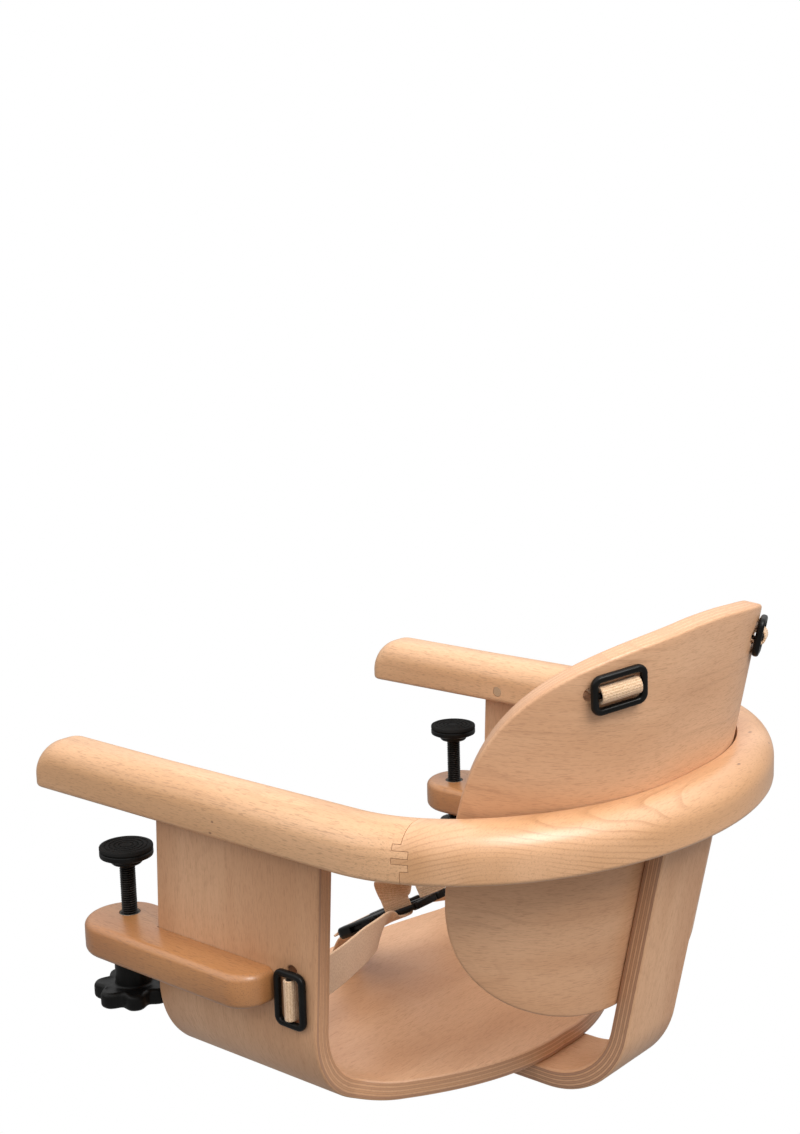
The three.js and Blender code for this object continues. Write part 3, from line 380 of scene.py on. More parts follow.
def softened(left, right, bottom, top, low, high, low_steps, high_steps):
    """A rectangle with one radius on its lower corners and another on its upper ones."""
    return np.concatenate([
        quarter((left + low, bottom + low), low, math.pi, low_steps),
        quarter((right - low, bottom + low), low, 1.5 * math.pi, low_steps),
        quarter((right - high, top - high), high, 0, high_steps),
        quarter((left + high, top - high), high, 0.5 * math.pi, high_steps),
    ])


def made_piece(name, points, faces, finish=None):
    mesh = bpy.data.meshes.new(name)
    mesh.from_pydata([tuple(p) for p in points], [], faces)
    if finish:
        mesh.materials.append(finish)
    mesh.calc_loop_triangles()
    at = np.array([v.co for v in mesh.vertices])
    corners = np.array([t.vertices for t in mesh.loop_triangles])
    a, b, c = (at[corners[:, k]] for k in range(3))
    if np.einsum("ij,ij->i", a, np.cross(b, c)).sum() < 0:
        mesh.flip_normals()
    piece = bpy.data.objects.new(name, mesh)
    bpy.context.scene.collection.objects.link(piece)
    return piece


def worked(piece, shape, operation="DIFFERENCE"):
    """Cuts a shape out of a piece, joins it on, or keeps only what they share."""
    cutter = made_piece("cutter", *shape)
    cut = piece.modifiers.new("cut", "BOOLEAN")
    cut.operation = operation
    cut.solver = "EXACT"
    cut.object = cutter
    result = bpy.data.meshes.new_from_object(piece.evaluated_get(bpy.context.evaluated_depsgraph_get()))
    piece.modifiers.clear()
    old = piece.data
    result.name = old.name
    piece.data = result
    bpy.data.meshes.remove(old)
    used = cutter.data
    bpy.data.objects.remove(cutter)
    bpy.data.meshes.remove(used)


def smoothed(piece, crease=35):
    piece.data.shade_smooth()
    piece.data.set_sharp_from_angle(angle=math.radians(crease))
    return piece


def mirror_of(piece, name):
    mesh = piece.data.copy()
    mesh.name = name
    mesh.transform(Matrix.Diagonal((-1, 1, 1, 1)))
    mesh.flip_normals()
    other = bpy.data.objects.new(name, mesh)
    bpy.context.scene.collection.objects.link(other)
    return other


def fitted(piece, node):
    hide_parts(node)
    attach(piece, body_of_node[node])


def prism(outline, across, up, start, end):
    outline, across, up = (np.asarray(part, float) for part in (outline, across, up))
    flat = outline[:, :1] * across + outline[:, 1:] * up
    through = np.cross(across, up)
    return lofted([flat + through * start, flat + through * end])


def block(low, high):
    ring = [(low[0], low[1]), (high[0], low[1]), (high[0], high[1]), (low[0], high[1])]
    return prism(ring, (1, 0, 0), (0, 1, 0), low[2], high[2])


def turned(profile, foot, axis=None, facets=48, endless=False):
    """Turns a profile of radii and heights; a radius may differ from facet to facet."""
    turns = full_turn(facets)
    circle = np.stack([np.cos(turns), np.sin(turns), 0 * turns], 1)
    facing = np.eye(3)
    if axis is not None:
        facing = np.array(Vector(axis).to_track_quat("Z", "Y").to_matrix().transposed())
    return lofted([(circle * np.reshape(radius, (-1, 1)) + (0, 0, height)) @ facing + foot
                   for radius, height in profile], endless)


def bow_section(half=bow_width / 2, top=bow_height, top_radius=bow_top_radius):
    return softened(-half, half, 0, top, bow_arris, top_radius, bow_arris_steps, bow_top_steps)


def bow_rings(start, end, steps):
    section = bow_section()
    rings = []
    for turn in np.linspace(start, end, steps):
        out = np.array([math.cos(turn) / half_span, math.sin(turn) / arc_depth])
        out = out / np.linalg.norm(out)
        centre = np.array([half_span * math.cos(turn), arm_back_end + arc_depth * math.sin(turn)])
        rings.append(np.concatenate([centre + section[:, :1] * out, section[:, 1:]], 1))
    return rings


def nose_rings():
    rings = []
    for back in nose_round * (1 - np.cos(np.linspace(0, math.pi / 2, nose_steps))):
        top = bow_height - nose_round + math.sqrt(max(0, nose_round**2 - (nose_round - back) ** 2))
        side = max(0, nose_corner - back)
        half = bow_width / 2 - nose_corner + math.sqrt(nose_corner**2 - side**2)
        high = min(bow_top_radius, nose_top_share * half, nose_top_share * top)
        rings.append([(half_span + x, back - arm_reach, z) for x, z in bow_section(half, top, high)])
    return rings + [[(half_span + x, y, z) for x, z in bow_section()] for y in (0, arm_back_end / 2)]


def finger_region(side, grown):
    """What an arm keeps of its finger joint, grown by the glue line where the arc is cut."""
    reach = arm_reach + arm_back_end + arc_depth
    outline = [(-reach, -beyond), (grown, -beyond)]
    for finger in range(finger_count + 1):
        way = -1 if finger % 2 else 1
        height = finger_start + finger * finger_thickness - way * grown
        before = -way * finger_length / 2 if finger else 0
        after = way * finger_length / 2 if finger < finger_count else 0
        outline += [(before + grown, height), (after + grown, height)]
    outline += [(grown, bow_height + beyond), (-reach, bow_height + beyond)]
    along = (-side * math.sin(joint_skew), math.cos(joint_skew), 0)
    points, faces = prism(outline, along, (0, 0, 1), -half_span / 2, half_span / 2)
    middle = (side * half_span * math.cos(joint_turn), arm_back_end + arc_depth * math.sin(joint_turn), 0)
    return points + middle, faces


arm_beech = solid_beech("arm_beech", "Y", beech_pale, beech_warm, 4.2, (150, -70), knots=arm_knots)
arc_beech = solid_beech("arc_beech", "X", arc_shaded_pale, arc_shaded_warm, 2.7, (236, -52), 0.5, 0.24, arc_knots)

arm_rings = nose_rings() + bow_rings(0, arm_end_turn, arm_bend_steps)
left_arm = made_piece("left_arm_rail", *lofted(arm_rings), arm_beech)
worked(left_arm, finger_region(1, 0), "INTERSECT")
groove_half = panel_half + running_gap
worked(left_arm, block(
    (half_span - groove_half, groove_shoulder - running_gap, -beyond),
    (half_span + groove_half, panel_rear - groove_shoulder + running_gap, tongue_height + running_gap)))
bore_radius = plug_radius + running_gap / 2
for plug_place in plug_places:
    plug_foot = (half_span - bow_width / 2 - beyond, plug_place, plug_height)
    worked(left_arm, turned([(bore_radius, 0), (bore_radius, beyond + plug_depth)], plug_foot, (1, 0, 0)))
right_arm = mirror_of(left_arm, "right_arm_rail")
fitted(smoothed(left_arm), "left_arm")
fitted(smoothed(right_arm), "right_arm")

back_lean = math.radians(12)
back_rear_at_arm = 0.2625
back_flat_half = 0.024
back_wing_radius = 0.13
pocket_radius = 0.142
pocket_reach = 0.16
pocket_steps = 90
lean_up = np.array([0, math.sin(back_lean), math.cos(back_lean)])
lean_back = np.array([0, math.cos(back_lean), -math.sin(back_lean)])
across_axis, back_axis, up_axis = np.eye(3)
back_origin = back_axis * back_rear_at_arm


def on_wing(along, radius=back_wing_radius):
    """The backrest's rear face at a way along it from the middle, and the direction out of it."""
    along = np.asarray(along, float)
    side = np.sign(along)
    turn = np.maximum(0, np.abs(along) - back_flat_half) / radius
    flat = np.minimum(np.abs(along), back_flat_half)
    place = (side * (flat + radius * np.sin(turn)))[..., None] * across_axis
    place = place - (radius * (1 - np.cos(turn)))[..., None] * lean_back
    normal = (side * np.sin(turn))[..., None] * across_axis + np.cos(turn)[..., None] * lean_back
    return back_origin + place, normal


rear_bow = made_piece("rear_arc", *lofted(bow_rings(*arc_turns, arc_steps)), arc_beech)
for side, word in sides:
    worked(rear_bow, finger_region(side, glue_line))
pocket = []
for along in np.linspace(-pocket_reach, pocket_reach, pocket_steps):
    place, normal = on_wing(along, pocket_radius)
    near = place + normal * running_gap
    far = near - normal * back_wing_radius / 3
    pocket.append([near - lean_up * bow_height, near + lean_up * 2 * bow_height,
                   far + lean_up * 2 * bow_height, far - lean_up * bow_height])
worked(rear_bow, lofted(pocket))
fitted(smoothed(rear_bow), "rear_bow")

# Seat shell: one blank of beech veneers moulded to a U, so that it makes both side panels and the
# seat. Its upper ends are tongues in the arms, its slots are routed, and its edges are sanded bare.
panel_front_lean = 0.0455
panel_rear_lean = 0.068
shell_drop = 0.164
shell_bend = 0.054
shell_rise = math.tan(math.radians(0.6))
leg_steps = 8
bend_steps = 36
seat_steps = 90
board = 0.012
board_arris = 0.0018
board_arris_steps = 4
rear_swell = 0.0663
rear_swell_half = 0.133
front_swell = 0.016
front_swell_half = 0.12
swell_corner = 0.004
slot_length = 0.04
slot_width = 0.008
slot_flare = 0.0009
slot_flare_steps = 5
slot_end_steps = 16
side_slot_y = 0.112
side_slot_z = -0.09
crotch_slot_y = -0.008
crotch_slot_length = 0.036
crotch_slot_z = -shell_drop + shell_rise * crotch_slot_y
veneers = 9
veneer_face = (0.66, 0.385, 0.22, 1)
veneer_blush = (0.55, 0.29, 0.15, 1)
veneer_line = (0.33, 0.150, 0.075, 1)
veneer_end = (0.38, 0.20, 0.12, 1)
veneer_glue = (0.20, 0.085, 0.045, 1)

# The patterns of the veneers, given as those of the solid beech are, in the flat board's own directions.
veneer_broad = ((0.005, 0.022, 0.1), 2, 0.3, 0.7)
veneer_fibre = ((0.02, 0.6, 0.6), 3, 0.4, 0.7)
veneer_flecks = ((0.17, 2.4, 2.4), 1, 0.57, 0.66)
veneer_pores = ((0.32, 3.1, 3.1), 0, 0.60, 0.73)
figure_patches = ((0.007, 0.03, 0), 1, 0.42, 0.68)
figure_wander = ((0.0045, 0.014, 0), 2, 120)
figure_space = 12.5
figure_line = (0.6, 0.93, 1, 0.94)
layer_margin = 0.01
veneer_fibre_share = 0.25
end_grain_share = 0.85
veneer_fleck_depth = 0.36
glue_seam = (0.14, 0.04)
open_edge_depths = (5.2, 4.7)
veneer_gloss = 0.40
glue_relief = 0.5
veneer_relief = (0.3, 0.0001)
veneer_coat = {"Coat Weight": 0.08, "Coat Roughness": 0.35}


def laminated_beech(name, face, blush, seed, figure_depth, glue_depth, end=veneer_end):
    """Veneers that lie crosswise by turns, with their glue lines at the open edges of the board."""
    finish, place = new_finish(name, "lamina")
    place = in_millimetres(place)
    apart = split(place)
    along, across, depth = (apart[k] for k in "XYZ")
    half_depth = 500 * board
    inside = reckon("MAXIMUM", layer_margin - half_depth, reckon("MINIMUM", half_depth - layer_margin, depth))
    layer_place = times(plus(inside, half_depth), veneers / 2 / half_depth)
    layer = reckon("FLOOR", layer_place)
    in_layer = reckon("FRACT", layer_place)
    crossed = reckon("MODULO", layer, 2)
    turned_place = blended(crossed, place, joined(across, along, depth))
    fibre_place = vector_reckon("ADD", turned_place, (seed, 3 * seed, 0))
    own_tint = shader(finish.node_tree, "TexWhiteNoise", {"W": plus(layer, seed)}, noise_dimensions="1D")
    line = year_lines(fibre_place, across, figure_space, figure_wander, figure_line)
    tint = blended(pattern(fibre_place, veneer_broad), face, blush)
    tint = blended(times(pattern(fibre_place, veneer_fibre), veneer_fibre_share), tint, blush)
    tint = blended(times(line, pattern(fibre_place, figure_patches, 0, figure_depth)), tint, veneer_line)
    tint = blended(times(crossed, end_grain_share), tint, blended(own_tint.outputs["Value"], end, blush))
    marks = grain_marks(fibre_place, veneer_flecks, veneer_fleck_depth, veneer_pores, veneer_fleck_depth / 2)
    tint = blended(marks, tint, veneer_line)
    seam = reckon("MINIMUM", in_layer, minus(1, in_layer))
    glue = times(step_up(seam, *glue_seam), step_up(reckon("ABSOLUTE", depth), *open_edge_depths))
    tint = blended(times(glue, glue_depth), tint, veneer_glue)
    return surfaced(finish, tint, plus(veneer_gloss, times(marks, mark_gloss)),
                    minus(1, plus(marks, times(glue, glue_relief))), veneer_relief, veneer_coat)


def kept_lamina(piece, places):
    """Keeps for each point of a board where it lay when the board was flat."""
    found = piece.data.attributes.new("lamina", "FLOAT_VECTOR", "POINT")
    found.data.foreach_set("vector", np.asarray(places, np.float32).ravel())


def vertices_of(piece):
    places = np.empty(3 * len(piece.data.vertices), np.float32)
    piece.data.vertices.foreach_get("co", places)
    return places.reshape(-1, 3).astype(float)


def walked(start, heading, runs):
    """Walks straight runs and bends, and gives each station's place, heading and way covered."""
    stations = [(np.array(start, float), heading, 0.0)]
    for length, radius, turn, steps in runs:
        for _ in range(steps):
            place, angle, covered = stations[-1]
            part = (radius * abs(turn) if radius else length) / steps
            chord = 2 * radius * math.sin(abs(turn) / steps / 2) if radius else part
            middle = angle + turn / steps / 2
            place = place + chord * np.array([math.cos(middle), math.sin(middle)])
            stations.append((place, angle + turn / steps, covered + part))
    return stations


def board_ring(centre, low, high, across, normal):
    section = softened(low, high, -board / 2, board / 2, board_arris, board_arris, board_arris_steps,
                       board_arris_steps)
    return np.array(centre) + section[:, :1] * across + section[:, 1:] * normal


def soft_swell(height, share):
    swell = height * (1 - share**2)
    return (swell + math.hypot(swell, swell_corner)) / 2


def panel_front_at(height):
    return panel_front_lean * height


def rounding(edge, steps):
    """Insets and rises of a rounded edge, from the face below it to the side above it."""
    return [(edge * (1 - math.sin(turn)), edge * (1 - math.cos(turn)))
            for turn in np.linspace(0, math.pi / 2, steps)]


def slotted(piece, length, centre, long, wide):
    """Routes a slot with round ends and flared edges through a board."""
    levels = [(board / 2 + slot_flare, slot_flare)]
    levels += [(board / 2 - rise, grown) for grown, rise in rounding(slot_flare, slot_flare_steps)]
    levels += [(-level, grown) for level, grown in reversed(levels)]
    straight = length / 2 - slot_width / 2
    rings = []
    for level, grown in levels:
        ends = [quarter((way * straight, 0), slot_width / 2 + grown, -way * math.pi / 2, slot_end_steps,
                        math.pi) for way in (1, -1)]
        rings.append([(x, y, level) for x, y in np.concatenate(ends)])
    points, faces = lofted(rings)
    worked(piece, (points @ np.stack([long, wide, np.cross(long, wide)]) + centre, faces))


bend_start = shell_bend - shell_drop
seat_flat_half = half_span - shell_bend
panel_foot = seat_flat_half + shell_bend * math.pi / 2
shell_leg = (tongue_height - bend_start, 0, 0, leg_steps)
shell_turn = (0, shell_bend, -math.pi / 2, bend_steps)
seat_run = (2 * seat_flat_half, 0, 0, seat_steps)
shell_line = walked((half_span, tongue_height), -math.pi / 2,
                    [shell_leg, shell_turn, seat_run, shell_turn, shell_leg])
shell_middle = shell_line[-1][2] / 2
shell_rings = []
for (x, z), angle, covered in shell_line:
    distance = abs(covered - shell_middle)
    height = bend_start - (panel_foot - distance)
    front = panel_front_at(height) - soft_swell(front_swell, distance / front_swell_half)
    rear = panel_rear + panel_rear_lean * height + soft_swell(rear_swell, distance / rear_swell_half)
    normal = np.array([-math.sin(angle), 0, math.cos(angle)])
    shell_rings.append(board_ring((x, 0, z), front, rear, (0, 1, shell_rise), normal))
shell_veneers = laminated_beech("shell_veneers", veneer_face, veneer_blush, 3, 0.1, 0.42)
shell = made_piece("moulded_shell", *lofted(shell_rings), shell_veneers)
for start, end in ((-beyond, groove_shoulder), (panel_rear - groove_shoulder, panel_rear + beyond)):
    worked(shell, block((-half_span - beyond, start, -running_gap), (half_span + beyond, end, beyond)))
for side, word in sides:
    slotted(shell, slot_length, (side * half_span, side_slot_y, side_slot_z), up_axis, back_axis)
slotted(shell, crotch_slot_length, (0, crotch_slot_y, crotch_slot_z), across_axis, back_axis)

shell_x, shell_y, shell_z = vertices_of(shell).T
from_middle = np.abs(shell_x)
level = shell_z - shell_rise * shell_y
bend_x = from_middle - seat_flat_half
bend_z = level - bend_start
bend_angle = np.arctan2(np.maximum(bend_x, 0), np.maximum(-bend_z, 0))
regions = [bend_z > 0, bend_x < 0]
run = np.select(regions, [panel_foot + bend_z, from_middle], seat_flat_half + shell_bend * bend_angle)
bend_deep = np.hypot(bend_x, bend_z) - shell_bend
deep = np.select(regions, [from_middle - half_span, -shell_drop - level], bend_deep)
kept_lamina(shell, np.stack([run * np.sign(shell_x), shell_y, -deep], 1))
fitted(smoothed(shell), "seat_shell")

# Support strip: a narrow bent board of the same veneers, screwed under the seat, carried round a bend
# and up behind the backrest to the underside of the bow.
support_width = 0.055
support_bend = 0.055
support_front = 0.04
support_corner = 0.009
support_corner_share = 0.995
support_steps = (12, 8, 40, 8)
shell_rise_angle = math.atan(shell_rise)
support_turn = math.pi / 2 - back_lean - shell_rise_angle
support_level = -shell_drop - board - running_gap
board_offset = running_gap + board / 2
upright_start = back_rear_at_arm + board_offset / math.cos(back_lean)
corner_y = (upright_start + math.tan(back_lean) * support_level) / (1 - math.tan(back_lean) * shell_rise)
corner_z = support_level + shell_rise * corner_y
bend_run = support_bend * math.tan(support_turn / 2)

support_line = walked((support_front, support_level + shell_rise * support_front), shell_rise_angle, [
    (support_corner, 0, 0, support_steps[0]),
    ((corner_y - support_front) / math.cos(shell_rise_angle) - bend_run - support_corner, 0, 0,
     support_steps[1]),
    (0, support_bend, support_turn, support_steps[2]),
    (-corner_z / math.cos(back_lean) - bend_run + board / 2, 0, 0, support_steps[3]),
])
support_rings = []
for (y, z), angle, covered in support_line:
    left = support_corner_share * max(0, support_corner - covered)
    half = support_width / 2 - support_corner + math.sqrt(support_corner**2 - left**2)
    normal = np.array([0, -math.sin(angle), math.cos(angle)])
    support_rings.append(board_ring((0, y, z), -half, half, across_axis, normal))
support_veneers = laminated_beech("support_veneers", veneer_face, veneer_blush, 11, 0.1, 0.8)
support = made_piece("bent_support", *lofted(support_rings), support_veneers)
worked(support, block((-beyond, 0, -running_gap), (beyond, 2 * half_span, beyond)))

support_points = vertices_of(support)
line_places, line_angles, line_runs = (np.array(part) for part in zip(*support_line))
apart = support_points[:, None, 1:] - line_places
nearest = np.hypot(apart[..., 0], apart[..., 1]).argmin(1)
offset_y, offset_z = apart[np.arange(len(nearest)), nearest].T
heading_cos, heading_sin = np.cos(line_angles[nearest]), np.sin(line_angles[nearest])
kept_lamina(support, np.stack([
    line_runs[nearest] + offset_y * heading_cos + offset_z * heading_sin,
    support_points[:, 0],
    offset_z * heading_cos - offset_y * heading_sin,
], 1))
fitted(smoothed(support), "rear_support")

# Backrest: a board of the same veneers moulded with a flat middle and two curved wings, cut to a
# rounded outline, slotted for the shoulder straps and screwed to the bow and the support strip.
back_half_length = 0.1558
back_top = 0.128
back_bottom = 0.116
back_round_power = 2.4
back_top_power = 0.383
back_bottom_power = 0.302
back_arris = 0.002
back_arris_steps = 6
back_slot_along = 0.0775
back_slot_height = 0.0988
back_slot_tilt = math.radians(13)
outline_points = 220
outline_fineness = 600
back_rings = 25
# The backrest's tones are the shell's veneers painted lighter: painted light on its rear face. Its end grain
# is painted pale and grey, with fainter glue lines: a painted highlight along its edges.
backrest_lit_face = (0.70, 0.412, 0.24, 1)
backrest_lit_blush = (0.585, 0.312, 0.165, 1)
backrest_highlit_end = (0.56, 0.33, 0.20, 1)


def outward_of(path):
    """The direction out of a closed path at each of its points."""
    along = np.roll(path, -1, 0) - np.roll(path, 1, 0)
    along /= np.linalg.norm(along, axis=1)[:, None]
    return np.stack([along[:, 1], -along[:, 0]], 1)


def backrest_outline():
    share = np.sin(np.linspace(-math.pi / 2, math.pi / 2, outline_fineness))
    fall = np.maximum(0, 1 - np.abs(share) ** back_round_power)
    upper = np.stack([share * back_half_length, back_top * fall**back_top_power], 1)
    lower = np.stack([share * back_half_length, -back_bottom * fall**back_bottom_power], 1)
    closed = np.concatenate([lower, upper[::-1][1:-1], lower[:1]])
    covered = np.concatenate([[0], np.cumsum(np.linalg.norm(np.diff(closed, axis=0), axis=1))])
    wanted = np.linspace(0, covered[-1], outline_points, endpoint=False)
    return np.stack([np.interp(wanted, covered, closed[:, k]) for k in range(2)], 1)


outline = backrest_outline()
outline_out = outward_of(outline)
levels = [(share, 0, -board / 2) for share in np.linspace(0, 1, back_rings + 1)[1:]]
levels += [(1, back_arris - inset, rise - board / 2)
           for inset, rise in rounding(back_arris, back_arris_steps)[1:]]
levels += [(share, grown, -depth) for share, grown, depth in reversed(levels)]
inner_outline = outline - outline_out * back_arris
points, faces = lofted([[(x, y, depth) for x, y in inner_outline * share + outline_out * grown]
                        for share, grown, depth in levels])
front_cap, rear_cap = faces[-2:]
faces = faces[:-2]
for cap, middle in ((front_cap, len(points)), (rear_cap, len(points) + 1)):
    faces += [(middle, here, after) for here, after in zip(cap, cap[1:] + cap[:1])]
points = np.concatenate([points, [(0, 0, -board / 2), (0, 0, board / 2)]])
backrest_veneers = laminated_beech("backrest_veneers", backrest_lit_face, backrest_lit_blush, 23, 0.26, 0.18,
                                   backrest_highlit_end)
backrest = made_piece("moulded_backrest", points, faces, backrest_veneers)
for side, word in sides:
    tilt_along, tilt_up = math.cos(back_slot_tilt), side * math.sin(back_slot_tilt)
    slotted(backrest, slot_length, (side * back_slot_along, back_slot_height, 0), (tilt_along, -tilt_up, 0),
            (tilt_up, tilt_along, 0))

flat_back = vertices_of(backrest)
kept_lamina(backrest, flat_back)
wing_place, wing_normal = on_wing(flat_back[:, 0])
bent_back = wing_place + flat_back[:, 1:2] * lean_up - (board / 2 - flat_back[:, 2:]) * wing_normal
backrest.data.vertices.foreach_set("co", bent_back.astype(np.float32).ravel())
backrest.data.update()
fitted(smoothed(backrest), "backrest")

# Fixings: zinc-plated wood screws with hexagon sockets hold the panels, the backrest, the strip and the
# clamp bars. Turned beech plugs cover the sunk ones in the arms, and two fluted dowels locate the
# strip's upper end under the bow.
head_height = 0.003
sunk_length = 0.027
socket_flats = 0.003
socket_depth = 0.0017
socket_taper = 0.92
socket_lip = 0.0002
head_flat_share = 0.82
head_dome_share = 0.8
dome_start = 0.15
neck_share = 0.85
neck_end = 1.4
thread_start = 1.6
tip_share = 0.9
point_share = 0.1
ridge_height = 1.35
ridge_slope = 3.1
wood_pitch = 0.0016
wood_thread = 0.00045
screw_facets = 48
panel_inner = half_span - panel_half
panel_outer = half_span + panel_half
arm_inner = half_span - bow_width / 2
plug_chamfer = plug_depth / 20
back_screw_length = 0.024
bow_screw_along = 0.062
bow_screw_height = 0.015
strip_screw_heights = (-0.028, -0.084)
support_screw_places = (0.07, 0.135)
support_screw_length = 0.024
dowel_radius = 0.004
dowel_depth = 0.018
dowel_offset = 0.013
dowel_taper = 0.001
dowel_taper_length = 0.0012
dowel_flutes = 14
flute_facets = 6
flute_share = 0.94
plug_grain = (0.47, 0.31, 0.185, 1)
zinc_bright = (0.56, 0.565, 0.56, 1)
zinc_dull = (0.38, 0.375, 0.35, 1)

# Each head has the radius of the screw's head, its height and the radius of the shank.
plain_head = (0.0045, head_height, 0.002)
sunk_head = (0.0033, 0.0028, 0.00175)

# The clouds and the grit of the zinc have their cells per metre, their detail and, as above, their levels.
plate_bloom = ((260, 260, 260), 3, 0.38, 0.66)
plate_grit = ((5200, 5200, 5200), 1)
plate_gloss = 0.24
bloom_gloss = 0.2
plate_relief = (0.15, 0.00005)


def plated_steel(name, bright, dull):
    finish, place = new_finish(name)
    bloom = pattern(place, plate_bloom)
    return surfaced(finish, blended(bloom, bright, dull), plus(plate_gloss, times(bloom, bloom_gloss)),
                    clouds(place, *plate_grit), plate_relief, {"Metallic": 1})


def threaded(core, crest, start, end, pitch, facets, per_turn=8):
    """Radii and heights of a thread whose ridge winds up the rod and fades out at both ends."""
    rings = []
    for height in np.arange(start, end, pitch / per_turn):
        share = (height / pitch - full_turn(facets) / (2 * math.pi)) % 1
        ridge = np.clip(ridge_height - ridge_slope * np.abs(share - 0.5), 0, 1)
        fade = min(1, (height - start) / pitch, max(0, (end - height) / pitch))
        rings.append((core + (crest - core) * ridge * fade, height))
    return rings


def wood_screw(name, node, foot, axis, length, head_sizes=plain_head):
    head, head_high, shank = head_sizes
    within = (full_turn(screw_facets) + math.pi / 6) % (math.pi / 3) - math.pi / 6
    hexagon = socket_flats / 2 / np.cos(within)
    flat = head_flat_share * (head - head_high / 3)
    root = shank - wood_thread
    profile = [(hexagon * socket_taper, socket_depth), (hexagon, socket_depth), (hexagon, socket_lip),
               (hexagon + socket_lip, socket_lip / 4), (flat, 0)]
    for turn in np.linspace(dome_start, 1, 6) * math.pi / 2:
        dome = head_dome_share * head_high * (1 - math.cos(turn))
        profile.append((flat + (head - flat) * math.sin(turn), dome))
    profile += [(head, head_high), (shank, head_high), (shank * neck_share, head_high * neck_end)]
    profile += threaded(root, shank, head_high * thread_start, length - 2 * shank, wood_pitch, screw_facets)
    profile += [(root * tip_share, length - 2 * shank), (shank * point_share, length)]
    screw = made_piece(name, *turned(profile, foot, axis, screw_facets), zinc)
    fitted(smoothed(screw), node)


zinc = plated_steel("zinc_plate", zinc_bright, zinc_dull)
plug_wood = solid_beech("plug_beech", "X", plug_grain, plug_grain, 3.1, (40, -30))
dowel_wood = solid_beech("dowel_beech", "Y", beech_pale, beech_warm, 3.7, (20, -15))
plug_profile = [(plug_radius - plug_chamfer, 0), (plug_radius, plug_chamfer),
                (plug_radius, plug_depth - plug_chamfer), (plug_radius - plug_chamfer, plug_depth)]
for side, word in sides:
    for plug_place, end in zip(plug_places, ("front", "rear")):
        foot = (side * (arm_inner + plug_depth + running_gap), plug_place, plug_height)
        wood_screw(word + "_sunk_screw_" + end, word + "_panel_screw_" + end, foot, (side, 0, 0), sunk_length,
                   sunk_head)
        plug_turned = turned(plug_profile, (side * arm_inner, plug_place, plug_height), (side, 0, 0))
        plug = made_piece(word + "_plug_" + end, *plug_turned, plug_wood)
        fitted(smoothed(plug), word + "_screw_plug_" + end)

back_screws = [(bow_screw_along, bow_screw_height, "left"), (-bow_screw_along, bow_screw_height, "right"),
               (0, strip_screw_heights[0], "upper"), (0, strip_screw_heights[1], "lower")]
for along, height, word in back_screws:
    place, normal = on_wing(along)
    foot = place + height * lean_up - (board + running_gap + head_height) * normal
    wood_screw("backrest_fixing_" + word, "backrest_screw_" + word, foot, normal, back_screw_length)
for y, word in zip(support_screw_places, ("front", "rear")):
    foot = (0, y, support_level + shell_rise * y - board / 2 - running_gap - head_height)
    wood_screw("strip_fixing_" + word, "support_screw_" + word, foot, up_axis, support_screw_length)

strip_middle = back_origin + board_offset * lean_back
flute_places = np.arange(flute_facets * dowel_flutes)
fluted = dowel_radius * np.where(flute_places % flute_facets < 1, flute_share, 1)
dowel_profile = [(fluted - dowel_taper, 0), (fluted, dowel_taper_length),
                 (fluted, 2 * dowel_depth - dowel_taper_length), (fluted - dowel_taper, 2 * dowel_depth)]
for side, word in sides:
    foot = strip_middle + side * dowel_offset * across_axis - dowel_depth * lean_up
    dowel_turned = turned(dowel_profile, foot, lean_up, len(flute_places))
    dowel = made_piece(word + "_fluted_dowel", *dowel_turned, dowel_wood)
    fitted(smoothed(dowel), "support_dowel_" + word)

# Clamp bars: short bars of oiled beech screwed to the outside of each panel, darker than the bow: partly
# their own tone and partly painted shade from the table above them. The tail lies against the panel, and
# the wider nose passes in front of it and carries the clamp screw.
bar_top = -0.075
bar_height = 0.0215
bar_nose_width = 0.052
bar_tail_width = 0.025
bar_centre_y = -0.034
bar_tail = 0.0975
bar_tail_radius = 0.018
bar_arris = 0.005
bar_arris_steps = 9
bar_nose_steps = 40
bar_tail_steps = 16
bar_crease = 28
bar_screw_places = (0.018, 0.078)
bar_screw_length = 0.029
bar_outer = panel_outer + bar_tail_width
bar_inner = bar_outer - bar_nose_width
bar_centre_x = (bar_inner + bar_outer) / 2
bar_bottom = bar_top - bar_height
bar_middle = (bar_top + bar_bottom) / 2
clamp_x = bar_centre_x - 0.005
clamp_y = bar_centre_y - 0.002
insert_radius = 0.0065
# The bars' tones are their own darker oiled beech, darkened further as painted shade from the table above
# them.
bar_shaded_pale = (0.47, 0.215, 0.078, 1)
bar_shaded_warm = (0.37, 0.15, 0.05, 1)


def bar_ring(inset, height):
    nose = bar_nose_width / 2 - inset
    tail = bar_tail_radius - inset
    outline = np.concatenate([
        [(bar_inner + inset, bar_tail - inset), (bar_inner + inset, bar_tail / 2), (bar_inner + inset, 0)],
        quarter((bar_centre_x, bar_centre_y), nose, math.pi, bar_nose_steps, math.pi),
        [(bar_outer - inset, 0), (bar_outer - inset, bar_tail / 2)],
        quarter((bar_outer - bar_tail_radius, bar_tail - bar_tail_radius), tail, 0, bar_tail_steps),
    ])
    return [(x, y, height) for x, y in outline]


bar_beech = solid_beech("bar_beech", "Y", bar_shaded_pale, bar_shaded_warm, 3.4, (205, -150), 0.3, 0.5)
bar_edge = rounding(bar_arris, bar_arris_steps)[:-1]
bar_rings = [bar_ring(inset, bar_bottom + rise) for inset, rise in bar_edge] + [bar_ring(0, bar_middle)]
bar_rings += [bar_ring(inset, bar_top - rise) for inset, rise in reversed(bar_edge)]
left_bar = made_piece("left_bar", *lofted(bar_rings), bar_beech)

